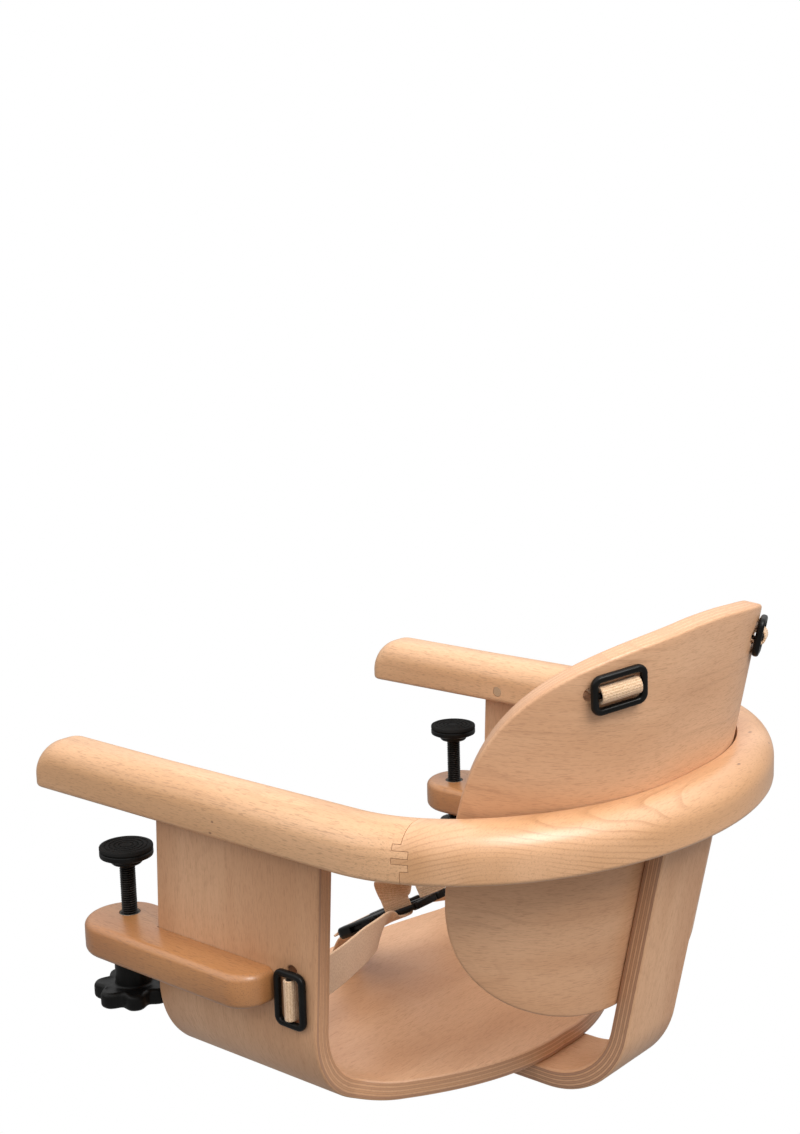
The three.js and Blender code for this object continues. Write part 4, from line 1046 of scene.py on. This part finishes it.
notch_top = bar_top + beyond
notch_bottom = bar_bottom - beyond
worked(left_bar, prism(
    [(panel_front_at(notch_top) - running_gap, notch_top),
     (panel_front_at(notch_bottom) - running_gap, notch_bottom),
     (bar_tail + beyond, notch_bottom), (bar_tail + beyond, notch_top)],
    back_axis, up_axis, bar_inner - beyond, panel_outer + running_gap))
insert_bore = insert_radius + running_gap
worked(left_bar, turned([(insert_bore, notch_bottom), (insert_bore, notch_top)], (clamp_x, clamp_y, 0)))
right_bar = mirror_of(left_bar, "right_bar")
for bar, (side, word) in zip((left_bar, right_bar), sides):
    fitted(smoothed(bar, bar_crease), word + "_clamp_bar")
    for y, end in zip(bar_screw_places, ("front", "rear")):
        foot = (side * (panel_inner - running_gap - head_height), y, bar_middle)
        wood_screw(word + "_bar_fixing_" + end, word + "_bar_screw_" + end, foot, (side, 0, 0),
                   bar_screw_length)

# Threaded inserts: plated nuts pressed into the bars' bores from above, with a coarse outer thread that
# bites the wood and a smooth bore that the clamp screw runs in.
insert_length = 0.02
insert_pitch = 0.0025
insert_thread = 0.0006
insert_chamfer = 0.0004
insert_start = 0.0008
insert_collar = 0.002
insert_facets = 64
rod_radius = 0.005
rod_bore = rod_radius + running_gap
# The inserts' plating is painted near black: painted shade of the bore round the rod and of the table above.
insert_shaded_bright = (0.17, 0.16, 0.14, 1)
insert_shaded_dull = (0.085, 0.08, 0.07, 1)

insert_plate = plated_steel("insert_plate", insert_shaded_bright, insert_shaded_dull)
insert_root = insert_radius - insert_thread
insert_profile = [(rod_bore + insert_thread, 0), (insert_root, 0)]
insert_profile += threaded(insert_root, insert_radius, insert_start, insert_length - 1.1 * insert_collar,
                           insert_pitch, insert_facets)
insert_profile += [(insert_radius, insert_length - insert_collar),
                   (insert_radius, insert_length - insert_chamfer),
                   (insert_radius - insert_chamfer, insert_length), (rod_bore + insert_thread, insert_length),
                   (rod_bore, insert_length - insert_thread), (rod_bore, insert_thread)]
for side, word in sides:
    foot = (side * clamp_x, clamp_y, bar_top - insert_length)
    insert_turned = turned(insert_profile, foot, facets=insert_facets, endless=True)
    insert = made_piece(word + "_insert", *insert_turned, insert_plate)
    fitted(smoothed(insert), word + "_threaded_insert")

# Clamp screws: blackened M10 rod with a rolled thread, a seven-lobed knob moulded on its lower end, and a
# cup on its upper end whose rubber face does the gripping.
rod_foot = -0.1287
rod_head = -0.0377
rod_core_radius = 0.00415
rod_pitch = 0.0015
rod_chamfer = 0.001
rod_facets = 40
rod_crease = 50
knob_bottom = -0.132
knob_rim_top = -0.1214
knob_top = -0.106
knob_radius = 0.0255
knob_hub_radius = 0.0115
knob_lobes = 7
knob_lobe_facets = 26
knob_scallop = 0.0052
knob_scallop_power = 1.4
knob_round = 0.003
knob_face_inset = 0.0012
knob_face_dish = 0.0004
knob_dish = 0.0009
knob_cove = 0.0016
knob_hub_round = 0.0012
knob_floor = 0.003
knob_crease = 40
knob_edge_steps = 8
bore_lip = 0.0005
pad_radius = 0.017
pad_top = -0.0303
pad_rubber = 0.003
pad_cup_height = 0.0084
pad_rim = 0.0032
pad_hub_radius = 0.01
pad_hub_round = 0.0008
pad_socket = 0.0046
pad_corner = 0.0006
pad_swell_power = 1.6
pad_swell_span = (0.05, 0.97, 10)
pad_facets = 96
groove_radii = (0.0135, 0.0105, 0.0075, 0.0045)
groove_half_width = 0.0006
groove_depth = 0.0005
black_steel_core = (0.007, 0.0065, 0.006, 1)
black_steel_crest = (0.05, 0.046, 0.042, 1)
plastic_black = (0.0042, 0.004, 0.0038, 1)
plastic_worn = (0.013, 0.0125, 0.012, 1)
rubber_black = (0.009, 0.0088, 0.0085, 1)
rubber_dust = (0.026, 0.0245, 0.0225, 1)

# The patterns of oiled steel and of moulded plastic, given as those of the zinc are.
crest_rise = 0.0004
oil_film = ((300, 300, 300), 3, 0.35, 0.7)
dry_wear = 0.35
steel_gloss = 0.46
oil_gloss = 0.16
steel_grit = ((6000, 6000, 6000), 1)
steel_relief = (0.2, 0.00006)
handled_patches = ((55, 55, 55), 3, 0.42, 0.72)
handled_share = 0.35
handled_gloss = 0.14
plastic_specks = ((1500, 1500, 1500), 2, 0.62, 0.75)
speck_share = 0.25
plastic_pebble = ((3200, 3200, 3200), 2)
pebble_depth = 0.00008
plastic_specular = 0.17


def blackened_steel(name):
    finish, place = new_finish(name)
    apart = split(place)
    spread = spread_of(minus(reckon("ABSOLUTE", apart["X"]), clamp_x), minus(apart["Y"], clamp_y))
    crest = step_up(spread, rod_core_radius + crest_rise, rod_radius)
    oil = pattern(place, oil_film)
    worn = times(crest, plus(dry_wear, times(oil, 1 - dry_wear)))
    return surfaced(finish, blended(worn, black_steel_core, black_steel_crest),
                    minus(steel_gloss, times(oil, oil_gloss)), clouds(place, *steel_grit), steel_relief,
                    {"Metallic": 0.85})


def moulded_plastic(name, base, worn, roughness, grain):
    finish, place = new_finish(name)
    handled = pattern(place, handled_patches)
    tint = blended(times(handled, handled_share), base, worn)
    tint = blended(times(pattern(place, plastic_specks), speck_share), tint, worn)
    return surfaced(finish, tint, plus(roughness, times(handled, handled_gloss)),
                    clouds(place, *plastic_pebble), (grain, pebble_depth),
                    {"Specular IOR Level": plastic_specular})


rod_black = blackened_steel("blackened_thread")
knob_black = moulded_plastic("knob_plastic", plastic_black, plastic_worn, 0.36, 0.3)
pad_face_black = moulded_plastic("pad_rubber", rubber_black, rubber_dust, 0.78, 0.6)

rod_profile = [(rod_core_radius - rod_chamfer, rod_foot), (rod_core_radius, rod_foot + rod_chamfer / 2)]
rod_profile += threaded(rod_core_radius, rod_radius, rod_foot + rod_chamfer, rod_head - rod_chamfer,
                        rod_pitch, rod_facets)
rod_profile += [(rod_core_radius, rod_head - rod_chamfer / 2), (rod_core_radius - rod_chamfer, rod_head)]

knob_facets = knob_lobes * knob_lobe_facets
waves = 0.5 - 0.5 * np.cos(knob_lobes * full_turn(knob_facets))
star = knob_radius - knob_scallop * waves**knob_scallop_power
star_edge = rounding(knob_round, knob_edge_steps)
hub_edge = rounding(knob_hub_round, knob_edge_steps)
star_face = star - knob_round - knob_face_inset
rim_rise = knob_rim_top - knob_bottom
hub_rise = knob_top - knob_bottom
knob_profile = [(knob_radius / 4, knob_face_dish), (knob_radius / 2, knob_face_dish),
                (star_face, 0.75 * knob_face_dish)]
knob_profile += [(star - inset, rise) for inset, rise in star_edge]
knob_profile += [(star - inset, rim_rise - rise) for inset, rise in reversed(star_edge)]
knob_profile += [(star_face, rim_rise - 0.6 * knob_dish),
                 (knob_hub_radius + knob_round, rim_rise - knob_dish)]
knob_profile += [(knob_hub_radius + out, rim_rise - knob_dish + rise)
                 for out, rise in rounding(knob_cove, knob_edge_steps)]
knob_profile += [(knob_hub_radius, hub_rise - knob_hub_round)]
knob_profile += [(knob_hub_radius - inset, hub_rise - rise) for inset, rise in reversed(hub_edge)]
knob_profile += [(rod_bore + bore_lip, hub_rise), (rod_bore, hub_rise - bore_lip), (rod_bore, knob_floor)]

cup_foot = pad_top - pad_rubber - running_gap - pad_cup_height
cup_edge = pad_cup_height - pad_rim
cup_hub_edge = pad_cup_height / 3
cup_profile = [(rod_bore, pad_socket), (rod_bore, bore_lip), (rod_bore + bore_lip, 0),
               (pad_hub_radius - pad_hub_round, 0), (pad_hub_radius, pad_hub_round),
               (pad_hub_radius, cup_hub_edge - pad_corner)]
cup_profile += [(pad_hub_radius + (pad_radius - pad_hub_radius) * share,
                 cup_hub_edge + (cup_edge - cup_hub_edge) * share**pad_swell_power)
                for share in np.linspace(*pad_swell_span)]
cup_profile += [(pad_radius, cup_edge + pad_corner), (pad_radius, pad_cup_height - bore_lip),
                (pad_radius - bore_lip, pad_cup_height)]

rubber_round = pad_rubber / 4
rubber_profile = [(pad_radius - rubber_round, 0), (pad_radius, rubber_round),
                  (pad_radius, pad_rubber - rubber_round),
                  (pad_radius - rubber_round / 3, pad_rubber - rubber_round / 3),
                  (pad_radius - rubber_round, pad_rubber)]
for groove in groove_radii:
    rubber_profile += [(groove + groove_half_width, pad_rubber),
                       (groove + groove_half_width / 2, pad_rubber - groove_depth),
                       (groove - groove_half_width / 2, pad_rubber - groove_depth),
                       (groove - groove_half_width, pad_rubber)]

# Each row has the piece's name, its node, the slot of its finish, the finish, its profile, the height
# of its foot and its facets.
clamp_pieces = [
    ("_clamp_screw", "_clamp_rod", "black_steel", rod_black, rod_profile, 0, rod_facets),
    ("_star_knob", "_clamp_knob", "black_plastic", knob_black, knob_profile, knob_bottom, knob_facets),
    ("_pressure_cup", "_pad_cup", "black_plastic", knob_black, cup_profile, cup_foot, pad_facets),
    ("_rubber_face", "_pad_face", "rubber", pad_face_black, rubber_profile, pad_top - pad_rubber, pad_facets),
]
for side, word in sides:
    for name, node, slot, finish, profile, foot, facets in clamp_pieces:
        piece_turned = turned(profile, (side * clamp_x, clamp_y, foot), facets=facets)
        piece = made_piece(word + name, *piece_turned, finish)
        fitted(smoothed(piece, rod_crease if finish == rod_black else knob_crease), word + node)

# Slide buckles: moulded rings of round bar with a thinner bar across the middle. Each one lies on a
# face, and the webbing that rounds its bar can't be pulled back through the slot behind it.
slide_length = 0.035
slide_width = 0.024
slide_wall = 0.0042
slide_corner = 0.006
slide_corner_steps = 12
slide_bar_radius = 0.0017
slide_rise = running_gap + slide_wall / 2
ring_squareness = 2.5
ring_facets = 28
slide_bar_facets = 24
buckle_black = moulded_plastic("buckle_plastic", plastic_black, plastic_worn, 0.27, 0.16)


def slide_buckle(name, node, centre, long, wide):
    wall = slide_wall / 2
    half_length = slide_length / 2 - wall
    half_width = slide_width / 2 - wall
    corner = slide_corner - wall
    path = softened(-half_length, half_length, -half_width, half_width, corner, corner, slide_corner_steps,
                    slide_corner_steps)
    turns = full_turn(ring_facets)
    out, up = (wall * np.sign(part) * np.abs(part) ** (2 / ring_squareness)
               for part in (np.cos(turns), np.sin(turns)))
    rings = []
    for place, path_out in zip(path, outward_of(path)):
        flat = place + out[:, None] * path_out
        rings.append(centre + flat[:, :1] * long + flat[:, 1:] * wide + up[:, None] * np.cross(long, wide))
    ring = made_piece(name, *lofted(rings, True), buckle_black)
    profile = [(slide_bar_radius, 0), (slide_bar_radius, 2 * half_length)]
    worked(ring, turned(profile, centre - long * half_length, long, slide_bar_facets), "UNION")
    fitted(smoothed(ring), node)


def back_slide(side):
    """The bar of a slide buckle behind the backrest, and its directions out, along and across."""
    place, out = on_wing(side * back_slot_along)
    long = math.cos(back_slot_tilt) * np.cross(out, lean_up) - side * math.sin(back_slot_tilt) * lean_up
    return place + back_slot_height * lean_up + slide_rise * out, out, long, np.cross(out, long)


crotch_bar = np.array([0, crotch_slot_y, crotch_slot_z - board / 2 - slide_rise])
side_bar = np.array([panel_outer + slide_rise, side_slot_y, side_slot_z])
for side, word in sides:
    slide_buckle(word + "_side_slide", word + "_side_buckle", side_bar * (side, 1, 1), up_axis, back_axis)
    back_bar, back_out, back_long, back_wide = back_slide(side)
    slide_buckle("back_slide_" + word, "back_buckle_" + word, back_bar, back_long, back_wide)
slide_buckle("under_seat_slide", "crotch_buckle", crotch_bar, across_axis, back_axis)

# Harness buckle: a flat moulded housing on the crotch strap, open at its far end, and two tongues that
# slide into it side by side. Each tongue carries the bar that its waist and shoulder strap run round.
buckle_origin = np.array([0, 0.008, -0.129])
buckle_slope = math.radians(28.4)
buckle_along = np.array([0, math.cos(buckle_slope), math.sin(buckle_slope)])
buckle_up = np.array([0, -math.sin(buckle_slope), math.cos(buckle_slope)])
buckle_crease = 32
buckle_bar_facets = 28
buckle_edge_steps = 6
buckle_corner_steps = 7
housing_length = 0.04
housing_width = 0.046
housing_thickness = 0.008
housing_corner = 0.007
housing_edge = 0.0022
housing_wall = 0.002
housing_bar = 0.004
housing_eye = 0.0054
mouth_depth = 0.026
window_length = 0.013
hole_edge = 0.0005
web_eye_corner = 0.0015
dish_half_width = 0.011
dish_start = 0.0165
dish_end = 0.0335
dish_half_thickness = 0.0015
dish_corner = 0.005
dish_edge = 0.0014
thumb_dish_depth = 0.0006
tongue_blade = 0.0036
tongue_blade_edge = 0.0007
blade_corner = 0.0016
prong_gap_corner = 0.002
tongue_eye_corner = 0.0018
tongue_shoulder = 0.0055
tongue_eye = 0.033
tongue_rail = 0.0044
tongue_bar = 0.004
tongue_plate = 0.005
tongue_corner = 0.0022
tongue_edge = 0.0012
plate_overlap = 0.0015
web_width = 0.025


def in_buckle(points):
    across, along, up = np.moveaxis(np.asarray(points, float)[..., None], -2, 0)
    return buckle_origin + across * across_axis + along * buckle_along + up * buckle_up


def eased_block(low, high, corner, edge, far_corner=None):
    """A block in the buckle's own directions, with rounded corners and eased edges."""
    levels = [(inset, low[2] + rise) for inset, rise in rounding(edge, buckle_edge_steps)]
    levels += [(inset, low[2] + high[2] - level) for inset, level in reversed(levels)]
    rings = []
    for inset, level in levels:
        near, far = (max(radius - inset, edge / 9) for radius in (corner, far_corner or corner))
        outline = softened(low[0] + inset, high[0] - inset, low[1] + inset, high[1] - inset, near, far,
                           buckle_corner_steps, buckle_corner_steps)
        rings.append([(x, y, level) for x, y in outline])
    points, faces = lofted(rings)
    return in_buckle(points), faces


def square_block(low, high):
    points, faces = block(low, high)
    return in_buckle(points), faces


def buckle_bar(radius, length, foot, axis):
    return turned([(radius, 0), (radius, length)], in_buckle(foot), axis, buckle_bar_facets)


half_width = housing_width / 2
half_thick = housing_thickness / 2
mouth_half = half_thick - housing_wall
mouth_side = half_width - housing_wall
mouth_floor = housing_length - mouth_depth
window_start = mouth_floor + housing_wall
eye_half = (web_width + housing_wall) / 2
housing = made_piece("harness_housing", *eased_block(
    (-half_width, 0, -half_thick), (half_width, housing_length, half_thick), housing_corner, housing_edge,
    housing_corner / 2), buckle_black)
worked(housing, square_block((-mouth_side, mouth_floor, -mouth_half),
                             (mouth_side, housing_length + beyond, mouth_half)))
worked(housing, square_block((-half_width - beyond, window_start, -mouth_half),
                             (half_width + beyond, window_start + window_length, mouth_half)))
worked(housing, eased_block((-eye_half, -beyond, -beyond), (eye_half, housing_bar + housing_eye, beyond),
                            web_eye_corner, hole_edge))
for face in (1, -1):
    level = face * (half_thick + dish_half_thickness - thumb_dish_depth)
    worked(housing, eased_block((-dish_half_width, dish_start, level - dish_half_thickness),
                                (dish_half_width, dish_end, level + dish_half_thickness),
                                dish_corner, dish_edge))
worked(housing, buckle_bar(housing_bar / 2, 2 * (eye_half + hole_edge),
                           (-eye_half - hole_edge, housing_bar / 2, 0), across_axis), "UNION")
fitted(smoothed(housing, buckle_crease), "buckle_housing")

bar_centre = half_width - tongue_bar / 2
shoulder_foot = housing_length + running_gap
eye_start = shoulder_foot + tongue_shoulder
eye_end = eye_start + tongue_eye
blade_outer = half_width - housing_wall - running_gap
left_tongue = made_piece("left_latch_tongue", *eased_block(
    (running_gap, mouth_floor + running_gap, -tongue_blade / 2), (blade_outer, eye_start, tongue_blade / 2),
    blade_corner, tongue_blade_edge), buckle_black)
worked(left_tongue, eased_block(((blade_outer - tongue_rail) / 2, 0, -beyond),
                                ((blade_outer + tongue_rail) / 2, housing_length - tongue_rail, beyond),
                                prong_gap_corner, hole_edge))
worked(left_tongue, eased_block((running_gap, shoulder_foot, -half_thick),
                                (half_width, eye_start, half_thick), tongue_corner, tongue_edge), "UNION")
worked(left_tongue, eased_block((running_gap, eye_start - plate_overlap, -tongue_plate / 2),
                                (bar_centre + tongue_edge / 2, eye_end + tongue_rail, tongue_plate / 2),
                                tongue_corner, tongue_edge), "UNION")
worked(left_tongue, eased_block((running_gap + tongue_rail, eye_start, -beyond),
                                (bar_centre + beyond, eye_end, beyond), tongue_eye_corner, hole_edge))
worked(left_tongue, buckle_bar(tongue_bar / 2, tongue_eye + tongue_rail,
                               (bar_centre, eye_start - tongue_rail / 2, 0), buckle_along), "UNION")
right_tongue = mirror_of(left_tongue, "right_latch_tongue")
for tongue, (side, word) in zip((left_tongue, right_tongue), sides):
    fitted(smoothed(tongue, buckle_crease), word + "_tongue")

# Webbing: 25 mm strap woven in light tan yarn, ribbed across its width. It rounds each slide buckle's
# bar, goes back through the slot and is sewn to itself inside.
web_thickness = 0.0016
web_edge = 0.0007
web_edge_steps = 4
web_pitch = 0.0014
web_columns = 15
web_face_height = 0.94
web_crease = 60
web_stub = 0.003
slide_turn = slide_bar_radius + running_gap + web_thickness / 2
slot_leg = 0.0028
slot_lead = 0.001
sewn_overlap = 1.05
roll_steps = 9
back_roll_out = 0.0036
back_roll_side = 0.0042
waist_sags = ((0.35, 0.06, 0), (0.62, 0.05, 0.03), (0.83, 0.02, 0.25))
waist_lead = 0.009
waist_lead_twist = 0.75
shoulder_drop = 0.32
shoulder_forward = 0.24
shoulder_sag = 0.16
shoulder_lead_radius = 0.014
shoulder_lead_lift = 0.1
shoulder_leads = ((1.22, 0.7), (0.81, 0.45), (0.41, 0.2))
# The face tone is the lit tone of the rib tops, and the shade tone is the painted shade of the grooves
# between them; the shade tone is also the dark end of the slubs and the colour of the soiled patches.
web_lit_face = (0.79, 0.545, 0.345, 1)
web_shade_and_soil = (0.52, 0.315, 0.175, 1)
web_thread = (0.90, 0.70, 0.50, 1)

# The sewn lines across the strap, counted in knots along it.
slot_seams = (0.3, 0.9, 14.4, 14.9)
housing_seams = (16, 16.3, 24.2, 24.7)

# The weave, in millimetres: how far apart the yarns lie, how the ribs wander between them, the shares of
# rib, yarn and fuzz in its height, and where its tints set in.
yarn_space = 0.9
zigzag_share = 0.42
rib_wander = ((0.25, 0.5, 1), 1)
rib_wander_reach = 0.5
rib_share = 0.62
yarn_share = 0.38
web_fuzz = ((5, 5, 1), 2)
fuzz_share = 0.9
shade_levels = (-0.8, 0.6)
slub_patches = ((0.9, 0.8, 1), 1, 0.36, 0.64)
slub_share = 0.28
soiled_patches = ((0.07, 0.12, 1), 2, 0.35, 0.7)
soiled_share = 0.16
stitch_space = 1.3
stitch_levels = (0.25, 0.45)
seam_levels = (0.5, 0.35)
seam_relief = 1.5
web_relief = (0.55, 0.00022)
web_roughness = 0.86
web_sheen = {"Sheen Weight": 0.25, "Sheen Roughness": 0.5}


def woven_webbing(name, face, shade, thread):
    """Ribbed webbing; the weave of a point is its way along, its way across and its way to a seam."""
    finish, place = new_finish(name, "weave")
    apart = split(in_millimetres(place))
    run, across, from_seam = (apart[k] for k in "XYZ")
    flat = joined(run, across, 0)
    zigzag = times(reckon("PINGPONG", across, yarn_space), zigzag_share)
    rib_place = plus(plus(run, zigzag), times(clouds(flat, *rib_wander), rib_wander_reach))
    rib = reckon("SINE", times(rib_place, 2 * math.pi / (1000 * web_pitch)))
    yarn = reckon("SINE", times(across, 2 * math.pi / yarn_space))
    height = plus(times(rib, rib_share), times(yarn, yarn_share))
    level = plus(height, times(minus(clouds(flat, *web_fuzz), 0.5), fuzz_share))
    # The low parts of the weave are painted toward the shade tone: painted shade in the grooves between the
    # ribs.
    tint = blended(step_up(level, *shade_levels), shade, face)
    tint = blended(slub_share, tint, blended(pattern(flat, slub_patches), shade, thread))
    tint = blended(times(pattern(flat, soiled_patches), soiled_share), tint, shade)
    dash = step_up(reckon("PINGPONG", across, stitch_space), *stitch_levels)
    seam = times(step_up(from_seam, *seam_levels), dash)
    tint = blended(seam, tint, thread)
    return surfaced(finish, tint, web_roughness, plus(level, times(seam, seam_relief)), web_relief, web_sheen)


def mixed(first, second, share):
    return first * (1 - share) + second * share


def through_knots(points, per_knot):
    """A smooth line through the knots, with its speed set by how far apart they lie."""
    points = np.asarray(points, float)
    points = np.concatenate([[2 * points[0] - points[1]], points, [2 * points[-1] - points[-2]]])
    line = []
    for at in range(1, len(points) - 2):
        p0, p1, p2, p3 = points[at - 1:at + 3]
        d0, d1, d2 = (max(np.linalg.norm(b - a) ** 0.5, 1e-6) for a, b in ((p0, p1), (p1, p2), (p2, p3)))
        t1 = ((p1 - p0) / d0 - (p2 - p0) / (d0 + d1) + (p2 - p1) / d1) * d1
        t2 = ((p2 - p1) / d1 - (p3 - p1) / (d1 + d2) + (p3 - p2) / d2) * d1
        for share in np.arange(per_knot) / per_knot:
            line.append(p1 + t1 * share + (3 * (p2 - p1) - 2 * t1 - t2) * share**2
                        + (2 * (p1 - p2) + t1 + t2) * share**3)
    return np.array(line + [points[-2]])


def webbing(name, knots, sewn=(), per_knot=14):
    """Sweeps the strap along its knots, each with a place and the direction of the strap's width."""
    line = through_knots([at for at, wide in knots], per_knot)
    wides = np.array([wide for at, wide in knots], float)
    places = np.arange(len(line)) / per_knot
    before = np.minimum(places.astype(int), len(knots) - 2)
    wide = mixed(wides[before], wides[before + 1], (places - before)[:, None])
    travel = np.gradient(line, axis=0)
    travel /= np.linalg.norm(travel, axis=1)[:, None]
    wide -= (wide * travel).sum(1)[:, None] * travel
    wide /= np.linalg.norm(wide, axis=1)[:, None]
    half = web_thickness / 2
    flat = np.linspace(web_edge - web_width / 2, web_width / 2 - web_edge, web_columns)[1:-1]
    rim = softened(-web_width / 2, web_width / 2, -half, half, web_edge, web_edge, web_edge_steps,
                   web_edge_steps)
    near, far, last = np.split(rim, (web_edge_steps + 1, 3 * (web_edge_steps + 1)))
    lower = [(x, -half * web_face_height) for x in flat]
    upper = [(x, half * web_face_height) for x in flat[::-1]]
    section = np.concatenate([near, lower, far, upper, last])
    rings = line[:, None] + section[:, :1] * wide[:, None] + section[:, 1:] * np.cross(travel, wide)[:, None]
    piece = made_piece(name, *lofted(rings), web_tan)
    covered = np.concatenate([[0], np.cumsum(np.linalg.norm(np.diff(line, axis=0), axis=1))])
    seams = np.interp(sewn, places, covered)
    from_seam = np.abs(covered[:, None] - seams).min(1, initial=web_width)
    weave = np.stack(np.broadcast_arrays(covered[:, None], section[:, 0], from_seam[:, None]), -1)
    kept = piece.data.attributes.new("weave", "FLOAT_VECTOR", "POINT")
    kept.data.foreach_set("vector", weave.astype(np.float32).ravel())
    return smoothed(piece, web_crease)


def buckle_pass(bar, out, side, wide, first_tail, last_tail, roll_out=slide_turn, roll_side=slide_turn):
    """Knots of a strap that comes out through a slot, rounds the buckle's bar and goes back in."""
    depth = slide_rise + board
    sewn_level = sewn_overlap * web_thickness - slot_leg
    places = [(-depth - first_tail, sewn_level), (-depth - first_tail / 2, (sewn_level + slot_leg) / 3),
              (-depth, slot_leg), (-slide_rise - slot_lead, slot_leg)]
    places += [(roll_out * math.cos(turn), roll_side * math.sin(turn))
               for turn in np.linspace(math.pi / 2, -math.pi / 2, roll_steps)]
    places += [(-slide_rise - slot_lead, -slot_leg), (-depth, -slot_leg), (-depth - last_tail, -slot_leg)]
    return [(bar + out * forward + side * sideways, wide) for forward, sideways in places]


web_tan = woven_webbing("tan_webbing", web_lit_face, web_shade_and_soil, web_thread)
tongue_turn = tongue_bar / 2 + running_gap + web_thickness / 2
strap_top = tongue_turn + web_stub
strap_side = bar_centre + tongue_turn + web_stub / 2
web_middle = (eye_start + eye_end) / 2

bend = [(bar_centre - tongue_turn, strap_top + running_gap), (bar_centre - tongue_turn, strap_top / 2)]
bend += [(bar_centre + tongue_turn * math.cos(turn), tongue_turn * math.sin(turn))
         for turn in np.linspace(math.pi, 1.5 * math.pi, 5)]
bend += [((bar_centre + strap_side) / 2, -tongue_turn), (strap_side + running_gap, -tongue_turn)]
left_bend = webbing("left_tongue_bend", [(in_buckle((x, web_middle, up)), buckle_along) for x, up in bend])

# The waist strap runs from its slide buckle on the panel to the tongue, and sags and twists on its way.
waist_start = side_bar - (slide_rise + board) * across_axis
waist_end = in_buckle((strap_side + running_gap, web_middle, -tongue_turn))
waist = buckle_pass(side_bar, across_axis, back_axis, up_axis, web_width / 3, web_width / 4)
for share, sag, turn in waist_sags:
    waist.append((mixed(waist_start, waist_end, share) - up_axis * sag * web_width,
                  mixed(up_axis, buckle_along, turn)))
waist += [(waist_end + across_axis * waist_lead, mixed(up_axis, buckle_along, waist_lead_twist)),
          (waist_end, buckle_along)]
left_waist = webbing("left_waist_web", waist, slot_seams)

# The shoulder strap runs from its slide buckle through the backrest and down to the tongue.
back_bar, back_out, back_long, back_wide = back_slide(1)
shoulder_start = back_bar - back_out * (slide_rise + board)
shoulder_end = in_buckle((bar_centre - tongue_turn, web_middle, strap_top + running_gap))
shoulder_middle = mixed(shoulder_start, shoulder_end, 0.5)
shoulder = buckle_pass(back_bar, back_out, -back_wide, -back_long, web_width / 3, web_width / 4,
                       back_roll_out, back_roll_side)
hung = shoulder_drop * up_axis + shoulder_forward * back_axis
shoulder += [(shoulder_start - back_slot_height * hung, -back_long),
             (shoulder_middle - back_slot_height * shoulder_sag * up_axis, -back_long)]
away = shoulder_start - shoulder_end
away -= buckle_up * (away @ buckle_up)
away /= np.linalg.norm(away)
for turn, share in shoulder_leads:
    lead = away * (1 - math.cos(turn)) + buckle_up * (math.sin(turn) + shoulder_lead_lift)
    shoulder.append((shoulder_end + shoulder_lead_radius * lead, mixed(buckle_along, -back_long, share)))
shoulder += [(shoulder_end + buckle_up * web_stub, buckle_along), (shoulder_end, buckle_along)]
left_shoulder = webbing("left_shoulder_web", shoulder, slot_seams)

# The crotch strap runs from the slide buckle under the seat up through it and round the housing's bar.
housing_turn = housing_bar / 2 + running_gap + web_thickness / 2
crotch = buckle_pass(crotch_bar, -up_axis, -back_axis, across_axis, web_width / 4, web_width / 3)
round_bar = [(housing_bar / 2 + housing_turn * math.cos(turn), housing_turn * math.sin(turn))
             for turn in np.linspace(-math.pi / 2, math.pi / 2, 7)]
crotch += [(in_buckle((0, along, up)), across_axis) for along, up in [
    (-web_width / 3, -housing_turn), *round_bar, (-web_width / 3, housing_turn / 5),
    (-web_width / 2, -housing_turn / 10)]]
fitted(webbing("crotch_web", crotch, slot_seams + housing_seams), "crotch_strap")

for side, word in sides:
    waist_web, shoulder_web, bend_web = (
        web if side > 0 else mirror_of(web, web.name.replace("left", "right"))
        for web in (left_waist, left_shoulder, left_bend))
    for web, node, start, end in ((waist_web, "_waist_strap", waist_start, waist_end),
                                  (shoulder_web, "_shoulder_strap", shoulder_start, shoulder_end)):
        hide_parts(word + node)
        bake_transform(web)
    fitted(bend_web, word + "_strap_bend")
